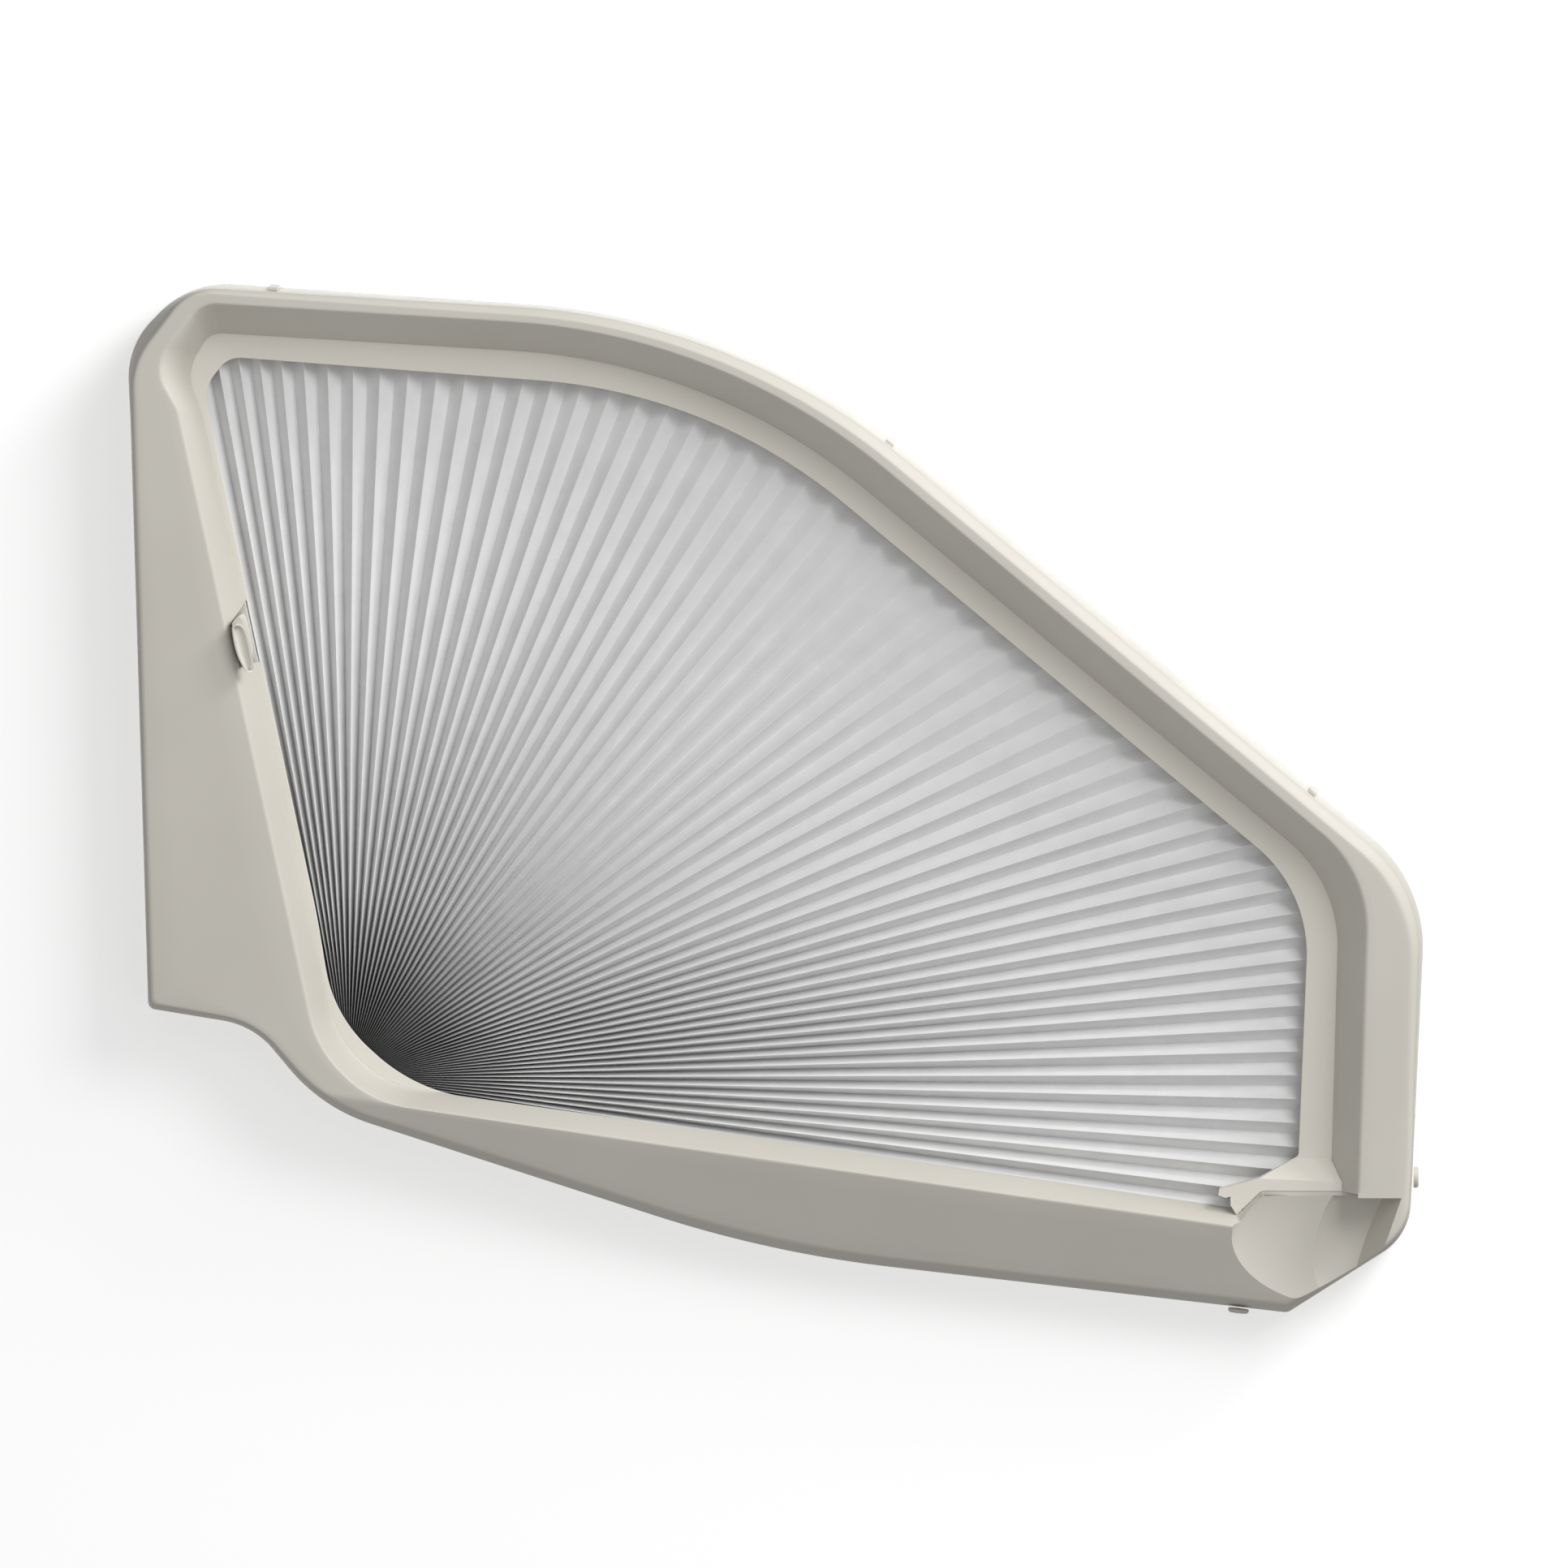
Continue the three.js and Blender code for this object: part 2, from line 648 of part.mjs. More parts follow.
// Shallow dish with a raised rim, on a stem that comes forward through the lip
const gripBack = frontDepth + gripStandoff;
const gripFloor = gripBack + gripThickness;
function gripEdge(inset) {
  return gripEdgeShares.map(([along, side]) => [
    gripStart + inset + along * (gripLength - 2 * inset), gripSide + side * gripWidth - inset,
  ]);
}

function fingerGrip() {
  const rimFront = gripFloor + gripRimHeight;
  const stem = railSlab(stemEdgeShares.map(([along, side]) => [
    stemStart + along * stemLength, stemSide + side * stemWidth,
  ]), railFront + seatGap, gripFloor - gripThickness / 2);
  return railSlab(gripEdge(0), gripBack, rimFront)
    .subtract(railSlab(gripEdge(gripRimWidth), gripFloor, rimFront + overrun))
    .add(stem);
}

function gripScrew() {
  const [along, side] = gripScrewShares;
  const place = railPlace(gripStart + along * gripLength, gripSide + side * gripWidth);
  return disc(gripScrewRadius, gripFloor + seatGap, gripFloor + seatGap + gripScrewHeight, place);
}

// Angle of a fold from its share of the pleats, by smooth steps between the chosen places
function foldAngle(share) {
  const last = foldSpreadShares.length - 1;
  const slopeAt = (i) => {
    const [lowShare, lowAngle] = foldSpreadShares[Math.max(0, i - 1)];
    const [highShare, highAngle] = foldSpreadShares[Math.min(last, i + 1)];
    return (highAngle - lowAngle) / (highShare - lowShare);
  };
  const found = foldSpreadShares.findIndex(([place]) => place >= share);
  const k = Math.max(1, found);
  const [fromShare, fromAngle] = foldSpreadShares[k - 1];
  const [toShare, toAngle] = foldSpreadShares[k];
  const span = toShare - fromShare;
  const u = (share - fromShare) / span;
  const level = fromAngle + (toAngle - fromAngle) * (3 * u ** 2 - 2 * u ** 3);
  const bend = (u ** 3 - 2 * u ** 2 + u) * slopeAt(k - 1) + (u ** 3 - u ** 2) * slopeAt(k);
  return firstFoldAngle + (lastFoldAngle - firstFoldAngle) * (level + bend * span);
}

const screenEdge = loopOf(grow(opening, screenTuck));
const sillAngle = Math.atan2(opening[bellyIndex].z, opening[bellyIndex].x);
function screenReach(angle) {
  return reachTo(screenEdge, Math.max(sillAngle + sightAngle, angle));
}

// Four points of one fold: inner and outer end, rear and front skin
function foldPoints(i, foldCount) {
  const shareAt = (k) => Math.min(1, Math.max(0, k / (foldCount - 1)));
  const angle = foldAngle(shareAt(i));
  const halfPitch = (foldAngle(shareAt(i + 1)) - foldAngle(shareAt(i - 1))) / 4;
  const toward = i % 2 === 0 ? 1 : -1;
  return [screenInnerRadius, screenReach(angle)].flatMap((radius) => {
    const depth = Math.sqrt(Math.max(0, facetWidth ** 2 - (2 * radius * halfPitch) ** 2));
    const middle = screenMidDepth + toward * (depth - screenSkin) / 2;
    return [-screenSkin / 2, screenSkin / 2].map((skin) => [
      radius * Math.cos(angle), -(middle + skin), radius * Math.sin(angle),
    ]);
  });
}

// Zigzag screen with folds forward and back by turns and facets of one width
function pleatedScreen() {
  const foldCount = 2 * pleatCount + 1;
  const positions = Array.from({ length: foldCount }, (_, i) => foldPoints(i, foldCount)).flat(2);
  const triangles = [];
  const quad = (a, b, c, d) => triangles.push(a, b, c, a, c, d);
  for (let here = 0; here < 4 * (foldCount - 1); here += 4) {
    const next = here + 4;
    quad(here + 1, here + 3, next + 3, next + 1);
    quad(here, next, next + 2, here + 2);
    quad(here, here + 1, next + 1, next);
    quad(here + 2, next + 2, next + 3, here + 3);
  }
  const end = 4 * (foldCount - 1);
  quad(0, 2, 3, 1);
  quad(end, end + 1, end + 3, end + 2);
  return solidOf(positions, triangles);
}

// Small parts on the rear plate, beside the screen's fixed end and beside the closed rail
function fixedClamp() {
  const angle = firstFoldAngle - clampAngle;
  const end = screenReach(angle) - clampEndInset;
  return railSlab([
    [clampStart, -clampSide], [end, -clampSide], [end, -clampSide - clampWidth],
    [clampStart, -clampSide - clampWidth],
  ], seatDepth, railFront, angle);
}

function besideRail(start, length, inset, thickness, back, front) {
  const end = start + length;
  return railSlab([
    [start, leftSide(start) + inset], [end, leftSide(end) + inset],
    [end, leftSide(end) + inset + thickness], [start, leftSide(start) + inset + thickness],
  ], back, front);
}

function keeperPlate() {
  return besideRail(magnetStart, magnetLength, seatGap, keeperThickness, railBack, magnetTop);
}

// Room between the rail's left side and the channel wall over a stretch of the rail
function roomBeside(start, length) {
  const wall = lineBetween(channelInside[0], channelInside[heelIndex]);
  const across = { x: -Math.sin(closedAngle), z: Math.cos(closedAngle) };
  const cross = (a, b) => a.x * b.z - a.z * b.x;
  const roomAt = (along) => {
    const foot = railPlace(along, leftSide(along));
    const toWall = { x: channelInside[0].x - foot.x, z: channelInside[0].z - foot.z };
    return cross(toWall, wall) / cross(across, wall);
  };
  return Math.min(roomAt(start), roomAt(start + length));
}

function catchMagnet() {
  const inset = seatGap + keeperThickness + magnetAirGap;
  const thickness = roomBeside(magnetStart, magnetLength) - inset - seatGap;
  return besideRail(magnetStart, magnetLength, inset, thickness, seatDepth, magnetTop);
}

function closedStop() {
  const thickness = roomBeside(stopStart, stopLength) - 3 * seatGap;
  return besideRail(stopStart, stopLength, seatGap, thickness, seatDepth, magnetTop);
}

// Edge clip that follows the slope of the outer wall
function edgeClip(angle) {
  const brimLoop = loopOf(brim);
  const outlineAt = (depth) => {
    const lift = depth / (frontDepth - brimDrop);
    const loop = loopOf(rear).map((point, i) => pointBetween(point, brimLoop[i], lift));
    const placeAt = (turn) => ({
      x: reachTo(loop, turn) * Math.cos(turn),
      z: reachTo(loop, turn) * Math.sin(turn),
    });
    const along = lineBetween(placeAt(angle + sightAngle), placeAt(angle - sightAngle));
    const middle = placeAt(angle);
    const corner = (run, out) => [
      middle.x + along.x * run - along.z * out, -depth, middle.z + along.z * run + along.x * out,
    ];
    return [
      corner(-clipWidth / 2, seatGap), corner(clipWidth / 2, seatGap),
      corner(clipWidth / 2, seatGap + clipThickness), corner(-clipWidth / 2, seatGap + clipThickness),
    ];
  };
  return block(outlineAt(clipBack), outlineAt(clipFront));
}

// Locating peg that stands out of the outer wall
function wallPeg(place, out, depth, radius, length) {
  const profile = [
    [0, 0], [radius, 0], [radius, length - pegDome], [radius - pegDome, length], [0, length], [0, 0],
  ].map(([across, along]) => new THREE.Vector2(across, along));
  const geometry = new THREE.LatheGeometry(profile, roundSteps);
  geometry.rotateX(Math.PI / 2);
  geometry.rotateY(Math.atan2(out.x, out.z));
  geometry.translate(place.x, -depth, place.z);
  return solidFrom(geometry);
}

function sidePeg() {
  const place = { x: brim[kneeIndex].x + seatGap, z: sidePegShare * blindHeight };
  return wallPeg(place, { x: 1, z: 0 }, sidePegDepth, sidePegRadius, sidePegLength);
}

function sillPeg() {
  const along = lineBetween(rear[tipIndex], rear[bellyIndex]);
  const out = { x: -along.z, z: along.x };
  const wall = pointBetween(rear[tipIndex], rear[bellyIndex], sillPegShare);
  const place = { x: wall.x + out.x * seatGap, z: wall.z + out.z * seatGap };
  return wallPeg(place, out, sillPegDepth, sillPegRadius, sillPegLength);
}

// Colours and finishes
const finishes = {
  casing: { color: 0xd6d2c8, roughness: 0.55, metalness: 0 },
  backing: { color: 0xcac6bc, roughness: 0.6, metalness: 0 },
  pleat: { color: 0xe4e4e6, roughness: 0.85, metalness: 0 },
  rail: { color: 0xdedbd1, roughness: 0.45, metalness: 0.1 },
  grip: { color: 0xd9d6cb, roughness: 0.5, metalness: 0 },
  slide: { color: 0xeceae4, roughness: 0.5, metalness: 0 },
  steel: { color: 0x9ea1a4, roughness: 0.35, metalness: 1 },
  magnet: { color: 0x6d6f72, roughness: 0.4, metalness: 1 },
  buffer: { color: 0x2b2b2c, roughness: 0.9, metalness: 0 },
};

function piece(name, solid, finish) {
  const { vertProperties, triVerts } = solid.getMesh();
  const geometry = new THREE.BufferGeometry();
  geometry.setAttribute('position', new THREE.BufferAttribute(Float32Array.from(vertProperties), 3));
  geometry.setIndex(new THREE.BufferAttribute(Uint32Array.from(triVerts), 1));
  const mesh = new THREE.Mesh(geometry, new THREE.MeshStandardMaterial(finishes[finish]));
  mesh.name = name;
  return mesh;
}

const blind = new THREE.Group();
blind.name = 'side_window_blind';
blind.add(
  piece('front_cover', frontCover(), 'casing'),
  piece('guide_frame', guideFrame(), 'casing'),
  piece('rear_plate', rearPlate(), 'backing'),
  ...postPlaces().map((place, i) => piece(`frame_screw_${i + 1}`, frameScrew(place), 'steel')),
  piece('pivot_pin', pivotPin(), 'steel'),
  piece('hub_washer_rear', washer(rearWasherBack), 'slide'),
  piece('hub_washer_front', washer(frontWasherBack), 'slide'),
  piece('pivot_screw', pivotScrew(), 'steel'),
  piece('fixed_clamp', fixedClamp(), 'rail'),
  piece('pleated_screen', pleatedScreen(), 'pleat'),
  piece('closed_magnet', catchMagnet(), 'magnet'),
  piece('closed_stop', closedStop(), 'buffer'),
  ...clipAngles.map((angle, i) => piece(`edge_clip_${i + 1}`, edgeClip(angle), 'casing')),
  piece('side_peg', sidePeg(), 'casing'),
  piece('sill_peg', sillPeg(), 'casing'),
  piece('rail_hub', railHub(), 'slide'),
  piece('end_rail', endRail(), 'rail'),
  piece('rail_shoe', railShoe(), 'slide'),
  piece('rail_strap', railStrap(), 'rail'),
  piece('finger_grip', fingerGrip(), 'grip'),
  piece('grip_screw', gripScrew(), 'steel'),
  piece('keeper_plate', keeperPlate(), 'steel'),
);

export default blind;
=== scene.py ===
import math
from collections import namedtuple

import bmesh
import bpy
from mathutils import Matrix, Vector
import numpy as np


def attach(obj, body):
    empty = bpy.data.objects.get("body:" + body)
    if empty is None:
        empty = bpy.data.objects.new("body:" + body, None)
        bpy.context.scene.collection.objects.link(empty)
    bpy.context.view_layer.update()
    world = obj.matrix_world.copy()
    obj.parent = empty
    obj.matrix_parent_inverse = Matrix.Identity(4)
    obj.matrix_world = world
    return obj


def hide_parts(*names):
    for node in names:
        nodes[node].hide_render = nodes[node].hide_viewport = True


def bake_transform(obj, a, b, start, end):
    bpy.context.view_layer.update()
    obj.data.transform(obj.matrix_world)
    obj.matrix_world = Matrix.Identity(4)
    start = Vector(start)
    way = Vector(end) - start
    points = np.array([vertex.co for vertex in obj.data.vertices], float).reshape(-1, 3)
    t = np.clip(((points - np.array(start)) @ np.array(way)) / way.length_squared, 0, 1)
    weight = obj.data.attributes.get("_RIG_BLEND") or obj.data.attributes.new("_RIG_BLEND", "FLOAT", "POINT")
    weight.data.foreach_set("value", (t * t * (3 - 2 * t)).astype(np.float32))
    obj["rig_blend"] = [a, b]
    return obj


# Looks of the side-window blackout blind. Metres, front at -Y, Z up, the fan's pivot at the origin.
# Every depth is measured forward from the rear face.

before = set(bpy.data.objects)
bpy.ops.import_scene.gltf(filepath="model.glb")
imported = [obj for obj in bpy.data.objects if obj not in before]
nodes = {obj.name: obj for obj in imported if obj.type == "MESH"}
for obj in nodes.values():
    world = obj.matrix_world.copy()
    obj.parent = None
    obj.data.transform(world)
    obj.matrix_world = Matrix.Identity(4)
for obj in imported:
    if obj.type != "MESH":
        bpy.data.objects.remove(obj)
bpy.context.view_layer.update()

# Sizes of the casing
BLIND_LENGTH = 0.880
BLIND_HEIGHT = 0.700
FRONT_DEPTH = 0.062
BRIM_DROP = 0.006
BAND_DEPTH = 0.042
FLANGE_DEPTH = 0.027
FLANGE_THICKNESS = 0.0025
PLATE_THICKNESS = 0.004
CASING_WALL = 0.0026
SEAT_GAP = 0.0003
SMALLEST_REACH = 0.0004
OVERRUN = 0.020
SILL_LEAN = math.radians(25)

# How finely the outlines are divided and joined
CORNER_STEPS = 18
SIDE_STEPS = 7
FACE_STEPS = 4
ROUNDING_STEPS = 4
SIDE_PER_REACH = 2.1
WIDEST_ROUNDING_SHARE = 0.48
PARALLEL_LIMIT = 1e-12
WELD_DISTANCE = 1e-7
SWEPT_DIGITS = 7
CARRIED_DIGITS = 6

# Softness of the moulded edges
REAR_EDGE = 0.0012
BRIM_EDGE = 0.0028
FACE_EDGE = 0.0042
MOUTH_EDGE = 0.0026
THROAT_EDGE = 0.0006
FLANGE_EDGE = 0.0007

# Folds flatter than these angles are shaded as one smooth surface
COVER_SMOOTH = math.radians(32)
GUIDE_SMOOTH = math.radians(20)
GRIP_SMOOTH = math.radians(38)
CLOTH_SMOOTH = math.radians(18)

# Sizes of the fan
CLOSED_PAST = math.radians(0.3)
OPEN_PAST = math.radians(0.1)
STACK_ANGLE = math.radians(3.4)
LAST_FOLD_GAP = math.radians(0.12)
SIGHT_ANGLE = math.radians(0.6)
PLEAT_COUNT = 58
FACET_WIDTH = 0.0126
SCREEN_MID_DEPTH = 0.0145
SCREEN_SKIN = 0.00014
SCREEN_INNER_RADIUS = 0.014
SCREEN_TUCK = 0.007
FOLD_ROUNDING = 0.0004
SCREEN_ROWS = 16
ROW_SPREAD = 1.4

# Sizes of the moving rail
RAIL_FRONT = 0.022

# Sizes of the grip and of the gap it moves in
GRIP_START_SHARE = 0.4064
GRIP_SIDE = 0.0005
GRIP_LENGTH = 0.0355
GRIP_WIDTH = 0.0099
GRIP_STANDOFF = 0.0015
GRIP_THICKNESS = 0.0022
GRIP_RIM_HEIGHT = 0.0042
STEM_INSET = 0.0075
STEM_SIDE = 0.0016
STEM_LENGTH = 0.0318
STEM_WIDTH = 0.0084
NOTCH_INSET = 0.0045
NOTCH_LENGTH = 0.046
NOTCH_SLOPE = 0.016
NOTCH_FAR_SIDE = 0.0115
NOTCH_NEAR_SIDE = -0.012
NOTCH_LIP_SIDE = -0.004

# Sizes of the finger scoop, whose dent goes deeper than its bowl
SCOOP_CLEARANCE = 3 * SEAT_GAP
SCOOP_DEPTH = FRONT_DEPTH - FLANGE_DEPTH - CASING_WALL - SCOOP_CLEARANCE
DENT_PAST_BOWL = 0.0065
BOWL_DEPTH = SCOOP_DEPTH - DENT_PAST_BOWL
SCOOP_HALF_LENGTH = 0.066
SCOOP_HALF_HEIGHT = 0.070
DENT_SINK = 0.016
DENT_DEPTH = SCOOP_DEPTH - DENT_SINK
LEDGE_PAST = 0.00005
DENT_HALF_LENGTH = 0.029
DENT_HALF_HEIGHT = 0.047
DENT_TILT = math.radians(24)
SCOOP_END_RUN = 0.014
SCOOP_STEPS = 96

# Outlines as corners: shares of the length across, of the height up, and of the length for
# how far the rounding reaches along each side. They run clockwise from the lower left.
REAR_SHARES = [
    (-0.1563, 0.0638, 0.005), (-0.1691, 0.6342, 0.0125), (-0.1719, 0.7081, 0.034),
    (-0.1225, 0.7702, 0.034), (0.3081, 0.7348, 0.1725), (0.83, 0.1903, 0.055),
    (0.82, -0.0886, 0.0225), (0.8175, -0.153, 0.03), (0.7237, -0.2285, 0.0031),
    (0.325, -0.1727, 0.0938), (-0.0219, -0.0328, 0.0425), (-0.075, 0.0473, 0.0238),
]
BRIM_SHARES = [
    (-0.1511, 0.0733, 0.0038), (-0.1636, 0.6398, 0.0125), (-0.1649, 0.6956, 0.0225),
    (-0.1205, 0.7687, 0.0219), (0.302, 0.7373, 0.1675), (0.8276, 0.1904, 0.0538),
    (0.8208, -0.083, 0.0225), (0.817, -0.1443, 0.0288), (0.7239, -0.2189, 0.0031),
    (0.3276, -0.1632, 0.0938), (-0.0174, -0.0225, 0.0425), (-0.0705, 0.0561, 0.0238),
]
FACE_SHARES = [
    (-0.1496, 0.0747, 0.0038), (-0.1627, 0.6404, 0.0125), (-0.1633, 0.6939, 0.0213),
    (-0.1202, 0.7654, 0.0206), (0.2985, 0.7292, 0.1638), (0.8229, 0.1832, 0.0531),
    (0.8192, -0.0824, 0.0225), (0.816, -0.1429, 0.0288), (0.7235, -0.2168, 0.0031),
    (0.3279, -0.161, 0.0938), (-0.0165, -0.0203, 0.0425), (-0.0696, 0.0582, 0.0238),
]
MOUTH_SHARES = [
    (-0.0427, 0.1612, 0.0187), (-0.1271, 0.6507, 0.0025), (-0.1458, 0.6931, 0.02),
    (-0.1096, 0.7536, 0.0125), (0.2917, 0.7237, 0.1638), (0.7867, 0.2059, 0.0469),
    (0.7792, -0.1054, 0.0013), (0.7074, -0.1054, 0.0013), (0.6904, -0.1374, 0.0019),
    (0.3279, -0.0738, 0.0375), (0.0223, -0.0196, 0.0288), (-0.0202, 0.0299, 0.0288),
]
THROAT_SHARES = [
    (-0.0294, 0.1577, 0.0187), (-0.1113, 0.6424, 0.0025), (-0.1238, 0.6841, 0.0163),
    (-0.1056, 0.7226, 0.01), (0.2819, 0.6943, 0.1531), (0.7637, 0.1914, 0.05),
    (0.7575, -0.1054, 0.0013), (0.703, -0.1054, 0.0013), (0.6812, -0.1228, 0.0019),
    (0.3262, -0.0584, 0.0375), (0.0306, -0.0073, 0.0269), (-0.0088, 0.039, 0.0269),
]
WINDOW_SHARES = [
    (-0.0238, 0.1577, 0.0187), (-0.1069, 0.6432, 0.0038), (-0.1088, 0.6715, 0.01),
    (-0.0913, 0.699, 0.01), (0.2812, 0.6644, 0.1325), (0.7406, 0.1844, 0.0531),
    (0.7325, -0.0726, 0.0025), (0.7031, -0.0946, 0.01), (0.6775, -0.1244, 0.0019),
    (0.3262, -0.0623, 0.0375), (0.0512, -0.0113, 0.0425), (-0.0113, 0.0602, 0.0425),
]
CHANNEL_SHARES = [
    (-0.0563, 0.1564, 0.0187), (-0.14, 0.6356, 0.0125), (-0.1456, 0.6985, 0.0156),
    (-0.115, 0.7331, 0.0125), (0.2844, 0.704, 0.1562), (0.7731, 0.1941, 0.05),
    (0.7706, -0.0872, 0.0094), (0.7663, -0.1579, 0.0063), (0.7256, -0.2035, 0.0038),
    (0.3256, -0.1556, 0.0938), (-0.0131, -0.0181, 0.0375), (-0.0394, 0.0346, 0.025),
]
BAND_SHARES = [
    (0.6719, -0.1039), (0.7026, -0.0929), (0.7338, -0.0716), (0.76, -0.0716),
    (0.7706, -0.0967), (0.7706, -0.109), (0.7088, -0.109), (0.6894, -0.1363),
    (0.6808, -0.1189), (0.6806, -0.1105), (0.6769, -0.1118), (0.6713, -0.1094),
]
FACET_TOP_SHARE = -0.0716
FACET_CREASE_SHARE = -0.0967
SCOOP_PLACE_SHARES = (0.7545, -0.1686)
DENT_PLACE_SHARES = (0.775, -0.152)
SCOOP_END_SHARES = [(0.813, -0.1076), (0.7985, -0.1607)]

# How the folds are spread over the fan: share of the pleats and share of the angle
FOLD_SPREAD_SHARES = [
    (0, 0), (0.034, 0.0258), (0.155, 0.1158), (0.276, 0.2024), (0.379, 0.2923),
    (0.517, 0.454), (0.655, 0.6272), (0.793, 0.7898), (0.897, 0.9091), (1, 1),
]

# The grip's edge and its stem in the rail's directions: shares along and to the left
GRIP_EDGE_SHARES = [
    (0.944, 0), (1, 0.88), (0.775, 0.98), (0.55, 1), (0.324, 0.92), (0.17, 0.76),
    (0.06, 0.6), (0.003, 0.41), (0.014, 0.18), (0.085, 0.04), (0.21, 0),
]
STEM_EDGE_SHARES = [
    (0, 0), (0.833, 0), (0.928, 0.095), (1, 0.286), (0.959, 0.583), (0.849, 1), (0, 1),
]

# The dish from its outer edge to its middle: share of half the width, and share of the rim's height
GRIP_PROFILE_SHARES = [
    (0, 0.86), (0.03, 0.97), (0.08, 1), (0.24, 1), (0.29, 0.94), (0.34, 0.5), (0.4, 0.12),
    (0.55, -0.06), (0.78, -0.16), (0.98, -0.2),
]
RIM_OPEN_SHARES = (0.05, 0.6)
RIM_LOW_SHARE = 0.12
MIDDLE_SHARE = 0.5
CORNER_CUT_SHARES = (0.25, 0.75)

# Corners of an outline by name
HEEL_CORNER = 1
KNEE_CORNER = 6
CHIN_CORNER = 7
TIP_CORNER = 8
BELLY_CORNER = 9
NECK_SIDE_CORNER = 10

# Surfaces: noise scales are repeats in a metre, bump depths are metres
PLASTIC_GRAIN = 1800
PLASTIC_TONE = 7
PLASTIC_GRAIN_DEPTH = 0.00004
PLASTIC_BUMP = 0.25
PLASTIC_SHINE = 0.35
PLASTIC_DULLING = 0.07
PLASTIC_POLISH = 0.05
HANDLED_PATCH = 12
HANDLED_SPECK = 300
METAL_GRAIN = 5200
METAL_TONE = 160
METAL_GRAIN_DEPTH = 0.00002
METAL_BUMP = 0.15
METAL_DULLING = 0.08
METAL_POLISH = 0.06
GRAIN_DETAIL = 3
TONE_DETAIL = 4
PATCH_DETAIL = 5
PATCH_ROUGHNESS = 0.6
SPECK_DETAIL = 2
NOISE_ROUGHNESS = 0.5
RAMP_SHARES = (0.3, 0.7)
HANDLED_RAMP_SHARES = (0.1, 0.4)
THREAD_SCALE = 420
THREAD_WANDER = 0.6
THREAD_DEPTH = 0.00005
THREAD_BUMP = 0.2
MOTTLE_SCALE = 60
MOTTLE_DETAIL = 6
CLOTH_SHINE = 0.2
# Painted shade on the cloth: inside these distances from the pivot its colour darkens, down to this share of
# its tone
PIVOT_SHADE_START = 0.015
PIVOT_SHADE_END = 0.135
PIVOT_SHADE_TONE = 0.30

# The studio
STAGE_SIZE = 9
WALL_GAP = 0.005
PAPER_TONE = 0.93
PAPER_ROUGHNESS = 0.9
PAPER_SHARE = 0.22
PAPER_GLOW = 2.1
WORLD_GLOW = 0.36
AIM = Vector((0.2954, -0.014, 0.1997))
CAMERA_TURN = math.radians(2.4)
CAMERA_LIFT = math.radians(4)
CAMERA_DISTANCE = 16
CAMERA_REACH = 200
PICTURE_WIDTH = 1.0626
SENSOR_WIDTH = 0.036
MILLIMETRES = 1000

Corner = namedtuple("Corner", "x z reach")
SoftBox = namedtuple("SoftBox", "name place power size")
Finish = namedtuple("Finish", "name low high roughness")

SOFT_BOXES = [
    SoftBox("key_box", Vector((2.3, -2.6, 2.2)), 64, 1.7),
    SoftBox("edge_box", Vector((3.2, -1.0, 3.1)), 88, 1.4),
    SoftBox("front_fill", Vector((0.5, -4.0, 0.5)), 18, 3.0),
    SoftBox("back_box", Vector((0.3, 4.2, 0.6)), 70, 2.4),
]

# Finishes: the darkest and lightest colour of each, and its roughness
PLASTICS = {
    "casing": Finish("casing_plastic", (0.60, 0.575, 0.515), (0.64, 0.615, 0.555), 0.5),
    # Painted light: the guide's plastic is lighter than the casing's so that its flange, deep in the funnel's
    # shade, looks as lit as the face
    "guide": Finish("guide_plastic_painted_light", (0.74, 0.71, 0.64), (0.78, 0.75, 0.68), 0.5),
    "backing": Finish("backing_plastic", (0.50, 0.48, 0.43), (0.55, 0.53, 0.48), 0.6),
    "rail": Finish("rail_enamel", (0.62, 0.60, 0.54), (0.67, 0.65, 0.59), 0.4),
    "grip": Finish("grip_plastic", (0.62, 0.60, 0.54), (0.67, 0.65, 0.59), 0.45),
    "slide": Finish("slide_plastic", (0.74, 0.73, 0.69), (0.80, 0.79, 0.75), 0.45),
    "buffer": Finish("buffer_rubber", (0.02, 0.02, 0.022), (0.035, 0.035, 0.038), 0.85),
}
METALS = {
    "steel": Finish("screw_steel", (0.46, 0.47, 0.48), (0.60, 0.61, 0.62), 0.32),
    "magnet": Finish("magnet_plating", (0.30, 0.31, 0.33), (0.40, 0.41, 0.43), 0.38),
}
CLOTH = Finish("fan_cloth_coated", (0.765, 0.765, 0.767), (0.805, 0.805, 0.807), 0.85)
CLOTH_SHEEN = 0.05
NODE_FINISHES = {
    "rear_plate": "backing", "fixed_clamp": "rail", "closed_magnet": "magnet", "closed_stop": "buffer",
    "rail_hub": "slide", "rail_shoe": "slide", "end_rail": "rail", "rail_strap": "rail",
    "finger_grip": "grip", "keeper_plate": "steel", "grip_screw": "grip", "pivot_pin": "steel",
    "pivot_screw": "steel", "hub_washer_rear": "slide", "hub_washer_front": "slide",
    "front_cover": "casing", "guide_frame": "guide", "pleated_screen": "pleat",
    "side_peg": "casing", "sill_peg": "casing",
}


# Outlines

def corners_from(shares):
    """Corners in metres from their shares."""
    return [
        Corner(place[0] * BLIND_LENGTH, place[1] * BLIND_HEIGHT, sum(place[2:]) * BLIND_LENGTH)
        for place in shares
    ]


def line_between(start, end):
    """Direction across and up, and the length, from one place to another."""
    length = math.hypot(end.x - start.x, end.z - start.z)
    return (end.x - start.x) / length, (end.z - start.z) / length, length


